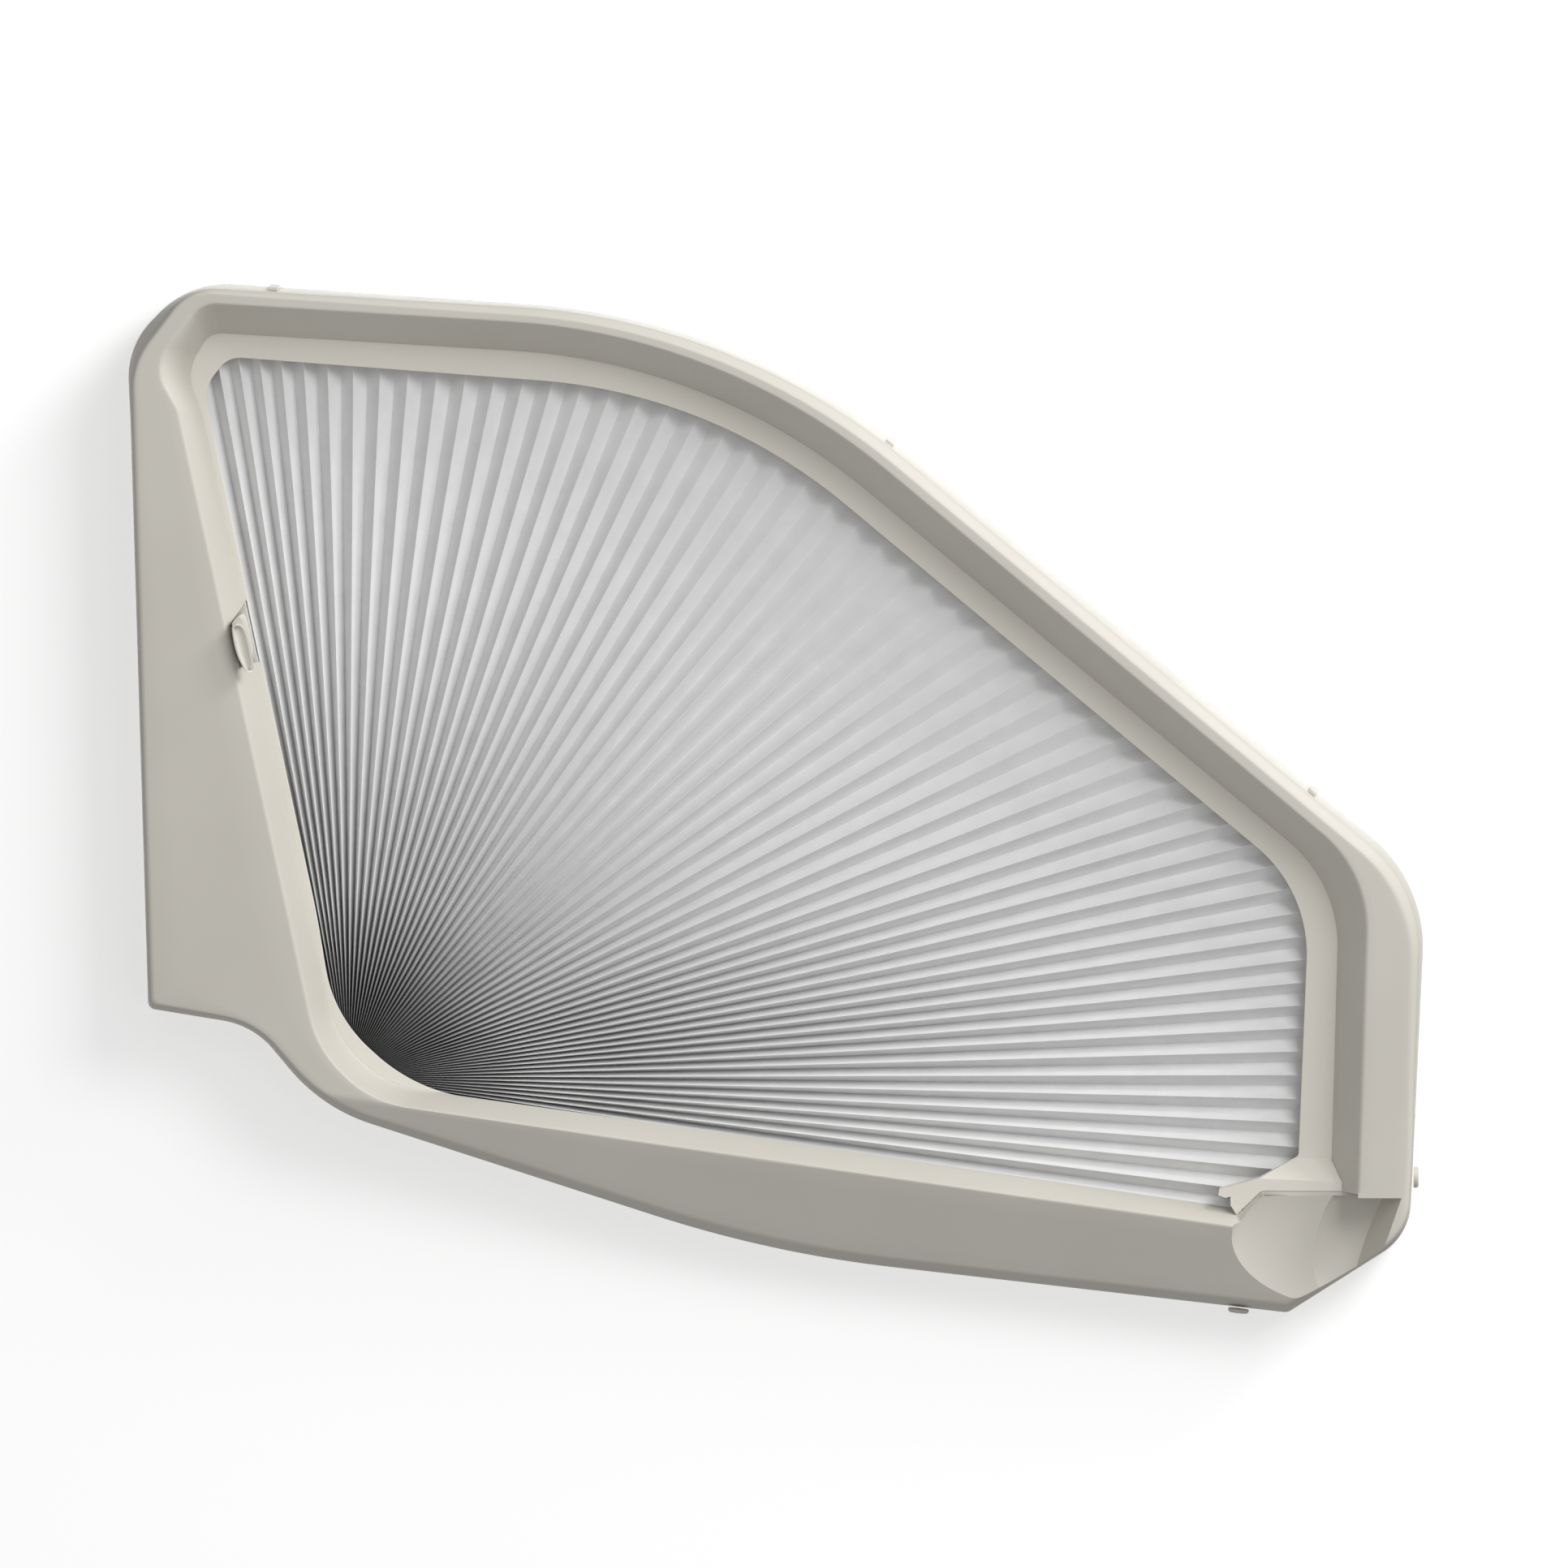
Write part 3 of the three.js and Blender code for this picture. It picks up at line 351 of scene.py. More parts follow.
def grown(corners, distance):
    """Every side of a clockwise outline moved outward by a distance, or inward if it is negative."""
    result = []
    for i, corner in enumerate(corners):
        in_x, in_z, _ = line_between(corners[i - 1], corner)
        out_x, out_z, _ = line_between(corner, corners[(i + 1) % len(corners)])
        turn = math.atan2(in_z * out_x - in_x * out_z, in_x * out_x + in_z * out_z)
        shift = distance / (1 + in_x * out_x + in_z * out_z)
        reach = max(SMALLEST_REACH, corner.reach + distance * math.tan(turn / 2))
        result.append(Corner(corner.x - (in_z + out_z) * shift, corner.z + (in_x + out_x) * shift, reach))
    return result


def loop_of(corners):
    """Places round an outline: a circular arc at every corner and even steps along every side."""
    arcs = []
    for i, corner in enumerate(corners):
        in_x, in_z, in_length = line_between(corners[i - 1], corner)
        out_x, out_z, out_length = line_between(corner, corners[(i + 1) % len(corners)])
        reach = min(corner.reach, in_length / SIDE_PER_REACH, out_length / SIDE_PER_REACH)
        weight = math.sqrt((1 + in_x * out_x + in_z * out_z) / 2)
        arc = []
        for step in range(CORNER_STEPS + 1):
            u = step / CORNER_STEPS
            before, after = (1 - u) ** 2, u ** 2
            total = before + after + 2 * weight * u * (1 - u)
            x = corner.x + (after * out_x - before * in_x) * reach / total
            z = corner.z + (after * out_z - before * in_z) * reach / total
            arc.append(Vector((x, 0, z)))
        arcs.append(arc)
    places = []
    for arc, following in zip(arcs, arcs[1:] + arcs[:1]):
        places += arc
        places += [arc[-1].lerp(following[0], step / SIDE_STEPS) for step in range(1, SIDE_STEPS)]
    return places


def ring_at(corners, depth):
    """An outline laid at a depth, or at the depth that a function gives for each place."""
    depth_at = depth if callable(depth) else lambda place: depth
    return [Vector((place.x, -depth_at(place), place.z)) for place in loop_of(corners)]


def reach_to(loop, angle):
    """Distance from the pivot to the far side of a loop in one direction."""
    line_x, line_z = math.cos(angle), math.sin(angle)
    reach = 0
    for start, end in zip(loop, loop[1:] + loop[:1]):
        side_x, side_z = end.x - start.x, end.z - start.z
        cross = line_x * side_z - line_z * side_x
        if abs(cross) < PARALLEL_LIMIT:
            continue
        along = (start.x * side_z - start.z * side_x) / cross
        share = (start.x * line_z - start.z * line_x) / cross
        if 0 <= share <= 1:
            reach = max(reach, along)
    return reach


rear = corners_from(REAR_SHARES)
brim = corners_from(BRIM_SHARES)
face = corners_from(FACE_SHARES)
mouth = corners_from(MOUTH_SHARES)
throat = corners_from(THROAT_SHARES)
window = corners_from(WINDOW_SHARES)
channel = corners_from(CHANNEL_SHARES)
channel_inside = grown(channel, -FLANGE_THICKNESS)
throat_depth = FLANGE_DEPTH + SEAT_GAP
flange_back = FLANGE_DEPTH - FLANGE_THICKNESS
seat_depth = PLATE_THICKNESS + SEAT_GAP
ceiling = mouth[KNEE_CORNER].z - CASING_WALL
closed_angle = math.atan2(window[HEEL_CORNER].z, window[HEEL_CORNER].x) + CLOSED_PAST
open_angle = math.atan2(throat[BELLY_CORNER].z, throat[BELLY_CORNER].x) + OPEN_PAST
first_fold_angle = open_angle - STACK_ANGLE
last_fold_angle = closed_angle - LAST_FOLD_GAP
grip_start = GRIP_START_SHARE * BLIND_HEIGHT
grip_back = FRONT_DEPTH + GRIP_STANDOFF
grip_floor = grip_back + GRIP_THICKNESS
crease_x, crease_z, _ = line_between(mouth[NECK_SIDE_CORNER], mouth[TIP_CORNER])


def face_depth(place):
    """Depth of the front face, which leans back below the sill's crease."""
    start = mouth[NECK_SIDE_CORNER]
    below = crease_z * (place.x - start.x) - crease_x * (place.z - start.z)
    return FRONT_DEPTH - max(0, below) * math.tan(SILL_LEAN)


# Modelling steps

def select_only(piece):
    """One piece selected and active."""
    bpy.ops.object.select_all(action="DESELECT")
    piece.select_set(True)
    bpy.context.view_layer.objects.active = piece


def rounded_place(before, corner, after, radius, u):
    """A place on the small arc that softens a profile's corner."""
    into, out = before - corner, after - corner
    start = corner + into * min(WIDEST_ROUNDING_SHARE, radius / max(into.length, SMALLEST_REACH))
    end = corner + out * min(WIDEST_ROUNDING_SHARE, radius / max(out.length, SMALLEST_REACH))
    return start * (1 - u) ** 2 + corner * 2 * u * (1 - u) + end * u ** 2


def softened(rings_and_edges):
    """The rings of a closed profile, with each corner rounded by its own softness."""
    rings = [ring for ring, _ in rings_and_edges]
    result = []
    for k, (ring, edge) in enumerate(rings_and_edges):
        if edge == 0:
            result.append(ring)
            continue
        near = list(zip(rings[k - 1], ring, rings[(k + 1) % len(rings)]))
        for step in range(ROUNDING_STEPS + 1):
            u = step / ROUNDING_STEPS
            result.append([rounded_place(*places, edge, u) for places in near])
    return result


def rounded_to(place, digits):
    """A place's numbers rounded, so that the same place is found again."""
    return tuple(round(c, digits) for c in place)


def swept(name, rings):
    """Closed solid: the first outline is extruded through the others and joined to its start."""
    bpy.ops.object.select_all(action="DESELECT")
    bpy.ops.mesh.primitive_circle_add(vertices=len(rings[0]), radius=BLIND_LENGTH)
    shape = bpy.context.object
    shape.name = name
    for vertex, place in zip(shape.data.vertices, rings[0]):
        vertex.co = place
    bpy.ops.object.mode_set(mode="EDIT")
    bpy.ops.mesh.select_all(action="SELECT")
    for here, there in zip(rings, rings[1:] + rings[:1]):
        moves = {rounded_to(start, SWEPT_DIGITS): end for start, end in zip(here, there)}
        bpy.ops.mesh.extrude_edges_indiv()
        cage = bmesh.from_edit_mesh(shape.data)
        for vertex in cage.verts:
            if vertex.select:
                vertex.co = moves[rounded_to(vertex.co, SWEPT_DIGITS)]
        bmesh.update_edit_mesh(shape.data)
    bpy.ops.mesh.select_all(action="SELECT")
    bpy.ops.mesh.remove_doubles(threshold=WELD_DISTANCE)
    bpy.ops.mesh.normals_make_consistent(inside=False)
    bpy.ops.object.mode_set(mode="OBJECT")
    return shape


def slab(name, places, back, front):
    """Flat outline of (across, up) places carried from one depth to another."""
    bpy.ops.object.select_all(action="DESELECT")
    bpy.ops.mesh.primitive_circle_add(vertices=len(places), radius=BLIND_LENGTH, fill_type="NGON")
    shape = bpy.context.object
    shape.name = name
    for vertex, (across, up) in zip(shape.data.vertices, places):
        vertex.co = (across, -back, up)
    bpy.ops.object.mode_set(mode="EDIT")
    bpy.ops.mesh.select_all(action="SELECT")
    bpy.ops.mesh.extrude_region_move(TRANSFORM_OT_translate={"value": (0, back - front, 0)})
    bpy.ops.mesh.select_all(action="SELECT")
    bpy.ops.mesh.normals_make_consistent(inside=False)
    bpy.ops.object.mode_set(mode="OBJECT")
    return shape


def combine(piece, tool, operation):
    """Joins or cuts a piece with another shape, which is used up."""
    select_only(piece)
    cut = piece.modifiers.new("cut", "BOOLEAN")
    cut.operation = operation
    cut.solver = "EXACT"
    cut.object = tool
    bpy.ops.object.modifier_apply(modifier=cut.name)
    bpy.data.objects.remove(tool)


def smooth(piece, angle):
    """Smooth shading across folds that are flatter than an angle."""
    select_only(piece)
    bpy.ops.object.shade_smooth_by_angle(angle=angle)


# The front cover

def casing_profile():
    """Outside of the casing from the rear edge to the throat, each ring with its edge softness."""
    across_face = [
        ([
            Vector((place.x, -face_depth(place), place.z))
            for place in (a.lerp(b, step / FACE_STEPS) for a, b in zip(loop_of(face), loop_of(mouth)))
        ], 0)
        for step in range(1, FACE_STEPS)
    ]
    return [
        (ring_at(rear, 0), REAR_EDGE),
        (ring_at(brim, lambda place: face_depth(place) - BRIM_DROP), BRIM_EDGE),
        (ring_at(face, face_depth), FACE_EDGE),
        *across_face,
        (ring_at(mouth, FRONT_DEPTH), MOUTH_EDGE),
        (ring_at(throat, throat_depth), THROAT_EDGE),
    ]


def casing_lining():
    """Inside of the casing wall, from the throat back to the rear edge."""
    return [
        (ring_at(grown(throat, CASING_WALL), throat_depth), 0),
        (ring_at(grown(mouth, CASING_WALL), FRONT_DEPTH - CASING_WALL), 0),
        (ring_at(grown(face, -CASING_WALL), lambda place: face_depth(place) - CASING_WALL), 0),
        (ring_at(
            grown(brim, -CASING_WALL),
            lambda place: face_depth(place) - BRIM_DROP - CASING_WALL / 2,
        ), 0),
        (ring_at(grown(rear, -CASING_WALL), 0), 0),
    ]


def oval(place_shares, sink, half_length, depth, half_height, tilt):
    """Egg-shaped cutter for a hollow, its middle sunk behind the face."""
    bpy.ops.object.select_all(action="DESELECT")
    bpy.ops.mesh.primitive_uv_sphere_add(
        segments=SCOOP_STEPS,
        ring_count=SCOOP_STEPS // 2,
        radius=1,
        location=(place_shares[0] * BLIND_LENGTH, sink - FRONT_DEPTH, place_shares[1] * BLIND_HEIGHT),
        rotation=(0, tilt, 0),
        scale=(half_length, depth, half_height),
    )
    shape = bpy.context.object
    bpy.ops.object.transform_apply()
    return shape


def scoop_cutter(extra):
    """The finger scoop with its second dent and sloped end, level along the top, grown by a wall."""
    bowl = oval(
        SCOOP_PLACE_SHARES, 0, SCOOP_HALF_LENGTH + extra, BOWL_DEPTH + extra, SCOOP_HALF_HEIGHT + extra, 0)
    dent = oval(
        DENT_PLACE_SHARES, DENT_SINK, DENT_HALF_LENGTH + extra, DENT_DEPTH + extra,
        DENT_HALF_HEIGHT + extra, DENT_TILT)
    combine(bowl, dent, "UNION")
    end_top, end_foot = corners_from(SCOOP_END_SHARES)
    end_x, end_z, _ = line_between(end_foot, end_top)
    slope = math.atan2(SCOOP_DEPTH, SCOOP_END_RUN)
    away = Vector((end_z * math.sin(slope), math.cos(slope), -end_x * math.sin(slope)))
    select_only(bowl)
    bpy.ops.object.mode_set(mode="EDIT")
    bpy.ops.mesh.select_all(action="SELECT")
    bpy.ops.mesh.bisect(
        plane_co=Vector((end_top.x, -FRONT_DEPTH, end_top.z)) + away * extra,
        plane_no=away,
        use_fill=True,
        clear_outer=True,
    )
    bpy.ops.mesh.select_all(action="SELECT")
    bpy.ops.mesh.bisect(
        plane_co=(0, 0, ceiling + extra), plane_no=(0, 0, 1), use_fill=True, clear_outer=True)
    bpy.ops.object.mode_set(mode="OBJECT")
    return bowl


def ledge_cutter():
    """Trims the level wall over the scoop to the height of the hook band."""
    outside = grown(mouth, CASING_WALL + LEDGE_PAST)
    inside = grown(mouth, -SEAT_GAP)
    knee_x = mouth[KNEE_CORNER].x
    return slab("ledge_cut", [
        (knee_x, inside[KNEE_CORNER].z),
        (knee_x, outside[KNEE_CORNER].z),
        (outside[CHIN_CORNER].x - 2 * CASING_WALL, outside[CHIN_CORNER].z),
        (inside[CHIN_CORNER].x, inside[CHIN_CORNER].z),
    ], BAND_DEPTH, FRONT_DEPTH + OVERRUN)


def rail_place(along, side, angle=None):
    """Place in the rail's directions: along the fan line and to the left of it."""
    turn = closed_angle if angle is None else angle
    return (
        along * math.cos(turn) - side * math.sin(turn),
        along * math.sin(turn) + side * math.cos(turn),
    )


def notch_cutter():
    """Gap in the left lip for the stem of the grip."""
    start = grip_start + NOTCH_INSET
    end = start + NOTCH_LENGTH
    return slab("notch", [rail_place(*place) for place in [
        (start, NOTCH_NEAR_SIDE), (start, NOTCH_FAR_SIDE), (end - NOTCH_SLOPE, NOTCH_FAR_SIDE),
        (end, NOTCH_LIP_SIDE), (end, NOTCH_NEAR_SIDE),
    ]], flange_back - SEAT_GAP, FRONT_DEPTH + OVERRUN)


def wall_middle():
    """Solid bounded by the middle of the casing's wall, which the scoop's own wall runs into."""
    half = CASING_WALL / 2
    return swept("wall_middle", [
        ring_at(grown(rear, -half), half),
        ring_at(grown(brim, -half), lambda place: face_depth(place) - BRIM_DROP - half / 2),
        ring_at(grown(face, -half), lambda place: face_depth(place) - half),
        ring_at(grown(mouth, half), FRONT_DEPTH - half),
        ring_at(grown(throat, half), throat_depth + half),
        ring_at(grown(throat, half), half),
    ])


def front_cover():
    """The moulded cover that faces the cab, with its scoop, ledge and notch."""
    cover = swept("cover_shell", softened(casing_profile() + casing_lining()))
    wall = scoop_cutter(CASING_WALL)
    combine(wall, wall_middle(), "INTERSECT")
    combine(cover, wall, "UNION")
    combine(cover, ledge_cutter(), "DIFFERENCE")
    combine(cover, scoop_cutter(0), "DIFFERENCE")
    combine(cover, notch_cutter(), "DIFFERENCE")
    smooth(cover, COVER_SMOOTH)
    return cover


# The guide frame

def hook_band():
    """Band with the hook at the lower right, with its sloped facet, cut back to the funnel."""
    band = slab("band", [(c.x, c.z) for c in corners_from(BAND_SHARES)], flange_back, BAND_DEPTH)
    high = FACET_TOP_SHARE * BLIND_HEIGHT
    low = FACET_CREASE_SHARE * BLIND_HEIGHT
    select_only(band)
    bpy.ops.object.mode_set(mode="EDIT")
    bpy.ops.mesh.select_all(action="SELECT")
    bpy.ops.mesh.bisect(
        plane_co=(0, -BAND_DEPTH, low),
        plane_no=(0, low - high, BAND_DEPTH - FLANGE_DEPTH),
        use_fill=True,
        clear_outer=True,
    )
    bpy.ops.object.mode_set(mode="OBJECT")
    back = FLANGE_DEPTH + SEAT_GAP / 2
    behind_funnel = swept("behind_funnel", [
        ring_at(grown(mouth, -SEAT_GAP), FRONT_DEPTH),
        ring_at(grown(throat, -SEAT_GAP), back),
        ring_at(grown(rear, OVERRUN), back),
        ring_at(grown(rear, OVERRUN), FRONT_DEPTH),
    ])
    combine(band, behind_funnel, "DIFFERENCE")
    return band


def guide_frame():
    """Inner moulding whose flange shows as a flat strip round the window."""
    guide = swept("guide_ring", softened([
        (ring_at(window, FLANGE_DEPTH), FLANGE_EDGE),
        (ring_at(channel, FLANGE_DEPTH), 0),
        (ring_at(channel, seat_depth), 0),
        (ring_at(channel_inside, seat_depth), 0),
        (ring_at(channel_inside, flange_back), 0),
        (ring_at(window, flange_back), FLANGE_EDGE),
    ]))
    combine(guide, hook_band(), "UNION")
    combine(guide, scoop_cutter(0), "DIFFERENCE")
    combine(guide, notch_cutter(), "DIFFERENCE")
    smooth(guide, GUIDE_SMOOTH)
    return guide


# The finger grip

def eased(places, rounds=2):
    """A closed outline with its corners cut back, twice finer each time."""
    for _ in range(rounds):
        places = [
            (a[0] + (b[0] - a[0]) * cut, a[1] + (b[1] - a[1]) * cut)
            for a, b in zip(places, places[1:] + places[:1])
            for cut in CORNER_CUT_SHARES
        ]
    return places


def rim_height(side):
    """Share of the rim's height: low beside the cloth, full on the far side."""
    start, end = RIM_OPEN_SHARES
    u = min(1, max(0, (side - start) / (end - start)))
    return RIM_LOW_SHARE + (1 - RIM_LOW_SHARE) * u * u * (3 - 2 * u)


def dish_ring(edge, inset, height):
    """The dish's outline drawn in towards its middle line, at a share of the rim's height."""
    ring = []
    for along, side in edge:
        along = MIDDLE_SHARE + (along - MIDDLE_SHARE) * (1 - inset * GRIP_WIDTH / GRIP_LENGTH)
        drawn = MIDDLE_SHARE + (side - MIDDLE_SHARE) * (1 - inset)
        rise = height * (rim_height(side) if height > 0 else 1)
        x, z = rail_place(grip_start + along * GRIP_LENGTH, GRIP_SIDE + drawn * GRIP_WIDTH)
        ring.append(Vector((x, -grip_floor - rise * GRIP_RIM_HEIGHT, z)))
    return ring


def carried(shape, rings):
    """The front face of a slab is extruded through more outlines."""
    select_only(shape)
    bpy.ops.object.mode_set(mode="EDIT")
    bpy.ops.mesh.select_all(action="DESELECT")
    cage = bmesh.from_edit_mesh(shape.data)
    front = min(cage.faces, key=lambda part: part.calc_center_median().y)
    front.select_set(True)
    bmesh.update_edit_mesh(shape.data)
    for here, there in zip(rings, rings[1:]):
        moves = {rounded_to(start, CARRIED_DIGITS): end for start, end in zip(here, there)}
        bpy.ops.mesh.extrude_region()
        cage = bmesh.from_edit_mesh(shape.data)
        for vertex in cage.verts:
            if vertex.select:
                vertex.co = moves[rounded_to(vertex.co, CARRIED_DIGITS)]
        bmesh.update_edit_mesh(shape.data)
    bpy.ops.object.mode_set(mode="OBJECT")


def finger_grip():
    """Half-leaf dish on its stem, with a raised rim on the side away from the cloth."""
    edge = eased(GRIP_EDGE_SHARES)
    floor_ring = dish_ring(edge, 0, 0)
    grip = slab("finger_dish", [(place.x, place.z) for place in floor_ring], grip_back, grip_floor)
    carried(grip, [floor_ring] + [dish_ring(edge, *step) for step in GRIP_PROFILE_SHARES])
    stem_start = grip_start + STEM_INSET
    stem = slab("stem", [
        rail_place(stem_start + along * STEM_LENGTH, STEM_SIDE + side * STEM_WIDTH)
        for along, side in eased(STEM_EDGE_SHARES, 1)
    ], RAIL_FRONT + SEAT_GAP, grip_floor - GRIP_THICKNESS / 2)
    combine(grip, stem, "UNION")
    smooth(grip, GRIP_SMOOTH)
    return grip


# The pleated screen

def fold_angle(share):
    """Direction of a fold from its share of the pleats, by smooth steps between the chosen places."""
    table = FOLD_SPREAD_SHARES
    last = len(table) - 1

    def slope_at(i):
        low, high = table[max(0, i - 1)], table[min(last, i + 1)]
        return (high[1] - low[1]) / (high[0] - low[0])

    k = max(1, next(i for i, place in enumerate(table) if place[0] >= share))
    (start_share, start_angle), (end_share, end_angle) = table[k - 1], table[k]
    span = end_share - start_share
    u = (share - start_share) / span
    level = start_angle + (end_angle - start_angle) * (3 * u ** 2 - 2 * u ** 3)
    bend = (u ** 3 - 2 * u ** 2 + u) * slope_at(k - 1) + (u ** 3 - u ** 2) * slope_at(k)
    return first_fold_angle + (last_fold_angle - first_fold_angle) * (level + bend * span)


def screen_reach(angle):
    """How far the screen runs out under the flange in one direction."""
    sill_angle = math.atan2(window[BELLY_CORNER].z, window[BELLY_CORNER].x)
    return reach_to(screen_edge, max(sill_angle + SIGHT_ANGLE, angle))


def fold_line(i, fold_count):
    """Places along one fold, from the inner end to the outer end."""
    def angle_at(k):
        return fold_angle(min(1, max(0, k / (fold_count - 1))))

    angle = angle_at(i)
    half_pitch = (angle_at(i + 1) - angle_at(i - 1)) / 4
    toward = 1 if i % 2 == 0 else -1
    reach = screen_reach(angle)
    places = []
    for row in range(SCREEN_ROWS + 1):
        radius = SCREEN_INNER_RADIUS + (reach - SCREEN_INNER_RADIUS) * (row / SCREEN_ROWS) ** ROW_SPREAD
        depth = math.sqrt(max(0, FACET_WIDTH ** 2 - (2 * radius * half_pitch) ** 2))
        middle = SCREEN_MID_DEPTH + toward * (depth - SCREEN_SKIN) / 2
        places.append(Vector((radius * math.cos(angle), -middle, radius * math.sin(angle))))
    return places


def pleat_columns():
    """Columns of places across the unfolded cloth, three at each fold, with their turning share."""
    fold_count = 2 * PLEAT_COUNT + 1
    folds = [fold_line(i, fold_count) for i in range(fold_count)]
    rounding = FOLD_ROUNDING / FACET_WIDTH
    spread = last_fold_angle - first_fold_angle
    stack = STACK_ANGLE - LAST_FOLD_GAP
    columns = []
    for i, fold in enumerate(folds):
        before = folds[max(0, i - 1)]
        after = folds[min(fold_count - 1, i + 1)]
        start = [place.lerp(near, rounding) for place, near in zip(fold, before)]
        end = [place.lerp(near, rounding) for place, near in zip(fold, after)]
        middle = [(a + place * 2 + b) / 4 for a, place, b in zip(start, fold, end)]
        for shift, column in [(-rounding, start), (0, middle), (rounding, end)]:
            share = min(1, max(0, (i + shift) / (fold_count - 1)))
            turned = fold_angle(share) - first_fold_angle
            weight = (turned - share * stack) / (spread - stack)
            columns.append((column, (i + shift) * FACET_WIDTH, weight))
    return columns


def pleated_screen():
    """One folded cloth from the fixed clamp to the rail. Each fold takes its share of the swing."""
    columns = pleat_columns()
    rows = SCREEN_ROWS + 1
    places = [place for column, _, _ in columns for place in column]
    faces = [
        (c * rows + r, c * rows + r + 1, (c + 1) * rows + r + 1, (c + 1) * rows + r)
        for c in range(len(columns) - 1)
        for r in range(SCREEN_ROWS)
    ]
    mesh = bpy.data.meshes.new("fan_cloth")
    mesh.from_pydata(places, [], faces)
    cloth_area = sum(polygon.area for polygon in mesh.polygons)
    weights = mesh.attributes.new("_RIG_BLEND", "FLOAT", "POINT")
    weights.data.foreach_set("value", [weight for _, _, weight in columns for _ in range(rows)])
    unfolded = mesh.uv_layers.new(name="cloth")
    for polygon in mesh.polygons:
        for loop in polygon.loop_indices:
            vertex = mesh.loops[loop].vertex_index
            place = places[vertex]
            unfolded.data[loop].uv = (columns[vertex // rows][1], math.hypot(place.x, place.z))
    screen = bpy.data.objects.new("fan_cloth", mesh)
    bpy.context.scene.collection.objects.link(screen)
    select_only(screen)
    bpy.ops.object.mode_set(mode="EDIT")
    bpy.ops.mesh.select_all(action="SELECT")
    bpy.ops.mesh.normals_make_consistent(inside=False)
    bpy.ops.object.mode_set(mode="OBJECT")
    skin = screen.modifiers.new("skin", "SOLIDIFY")
    skin.thickness = SCREEN_SKIN
    skin.offset = 0
    bpy.ops.object.modifier_apply(modifier=skin.name)
    smooth(screen, CLOTH_SMOOTH)
    return screen, cloth_area


# Materials

def node_group(name, inputs, outputs):
    """Empty shader node group with named inputs and outputs."""
    group = bpy.data.node_groups.new(name, "ShaderNodeTree")
    for label, default in inputs:
        socket = group.interface.new_socket(name=label, in_out="INPUT", socket_type="NodeSocketFloat")
        socket.default_value = default
    for label, kind in outputs:
        group.interface.new_socket(name=label, in_out="OUTPUT", socket_type=kind)
    return group


def noise(tree, coordinates, scale_socket, detail, roughness=NOISE_ROUGHNESS):
    """Noise texture whose scale comes from a socket."""
    texture = tree.nodes.new("ShaderNodeTexNoise")
    texture.inputs["Detail"].default_value = detail
    texture.inputs["Roughness"].default_value = roughness
    tree.links.new(coordinates, texture.inputs["Vector"])
    tree.links.new(scale_socket, texture.inputs["Scale"])
    return texture.outputs["Fac"]


def moulded_grain_group():
    """Fine spark-eroded grain of moulded plastic, with a slow change of tone."""
    group = node_group(
        "moulded_grain",
        [("Grain Scale", PLASTIC_GRAIN), ("Tone Scale", PLASTIC_TONE)],
        [("Height", "NodeSocketFloat"), ("Tone", "NodeSocketFloat")],
    )
    start = group.nodes.new("NodeGroupInput")
    end = group.nodes.new("NodeGroupOutput")
    place = group.nodes.new("ShaderNodeTexCoord").outputs["Object"]
    height = noise(group, place, start.outputs["Grain Scale"], GRAIN_DETAIL)
    tone = noise(group, place, start.outputs["Tone Scale"], TONE_DETAIL)
    group.links.new(height, end.inputs["Height"])
    group.links.new(tone, end.inputs["Tone"])
    return group


def handling_group():
    """Where hands and dust dull the surface: soft patches broken by fine specks."""
    group = node_group(
        "handling",
        [("Patch Scale", HANDLED_PATCH), ("Speck Scale", HANDLED_SPECK)],
        [("Mask", "NodeSocketFloat")],
    )
    start = group.nodes.new("NodeGroupInput")
    end = group.nodes.new("NodeGroupOutput")
    place = group.nodes.new("ShaderNodeTexCoord").outputs["Object"]
    patches = noise(group, place, start.outputs["Patch Scale"], PATCH_DETAIL, PATCH_ROUGHNESS)
    specks = noise(group, place, start.outputs["Speck Scale"], SPECK_DETAIL)
    both = group.nodes.new("ShaderNodeMath")
    both.operation = "MULTIPLY"
    group.links.new(patches, both.inputs[0])
    group.links.new(specks, both.inputs[1])
    group.links.new(both.outputs[0], end.inputs["Mask"])
    return group


def new_material(name):
    """Material with its tree and its main shader."""
    material = bpy.data.materials.new(name)
    material.use_nodes = True
    return material, material.node_tree, material.node_tree.nodes["Principled BSDF"]


def place_group(tree, group, values):
    """A shared group placed in a material with its own values."""
    node = tree.nodes.new("ShaderNodeGroup")
    node.node_tree = group
    for label, value in values.items():
        node.inputs[label].default_value = value
    return node


def ramp(tree, source, low, high, shares=RAMP_SHARES):
    """Colours or greys spread over a mask."""
    node = tree.nodes.new("ShaderNodeValToRGB")
    node.color_ramp.elements[0].position = shares[0]
    node.color_ramp.elements[1].position = shares[1]
    node.color_ramp.elements[0].color = (*low, 1)
    node.color_ramp.elements[1].color = (*high, 1)
    tree.links.new(source, node.inputs["Fac"])
    return node.outputs["Color"]


def bump(tree, shader, height, strength, distance):
    """Small relief from a height mask."""
    node = tree.nodes.new("ShaderNodeBump")
    node.inputs["Strength"].default_value = strength
    node.inputs["Distance"].default_value = distance
    tree.links.new(height, node.inputs["Height"])
    tree.links.new(node.outputs["Normal"], shader.inputs["Normal"])


def grey(value):
    """A colour without hue."""
    return (value, value, value)


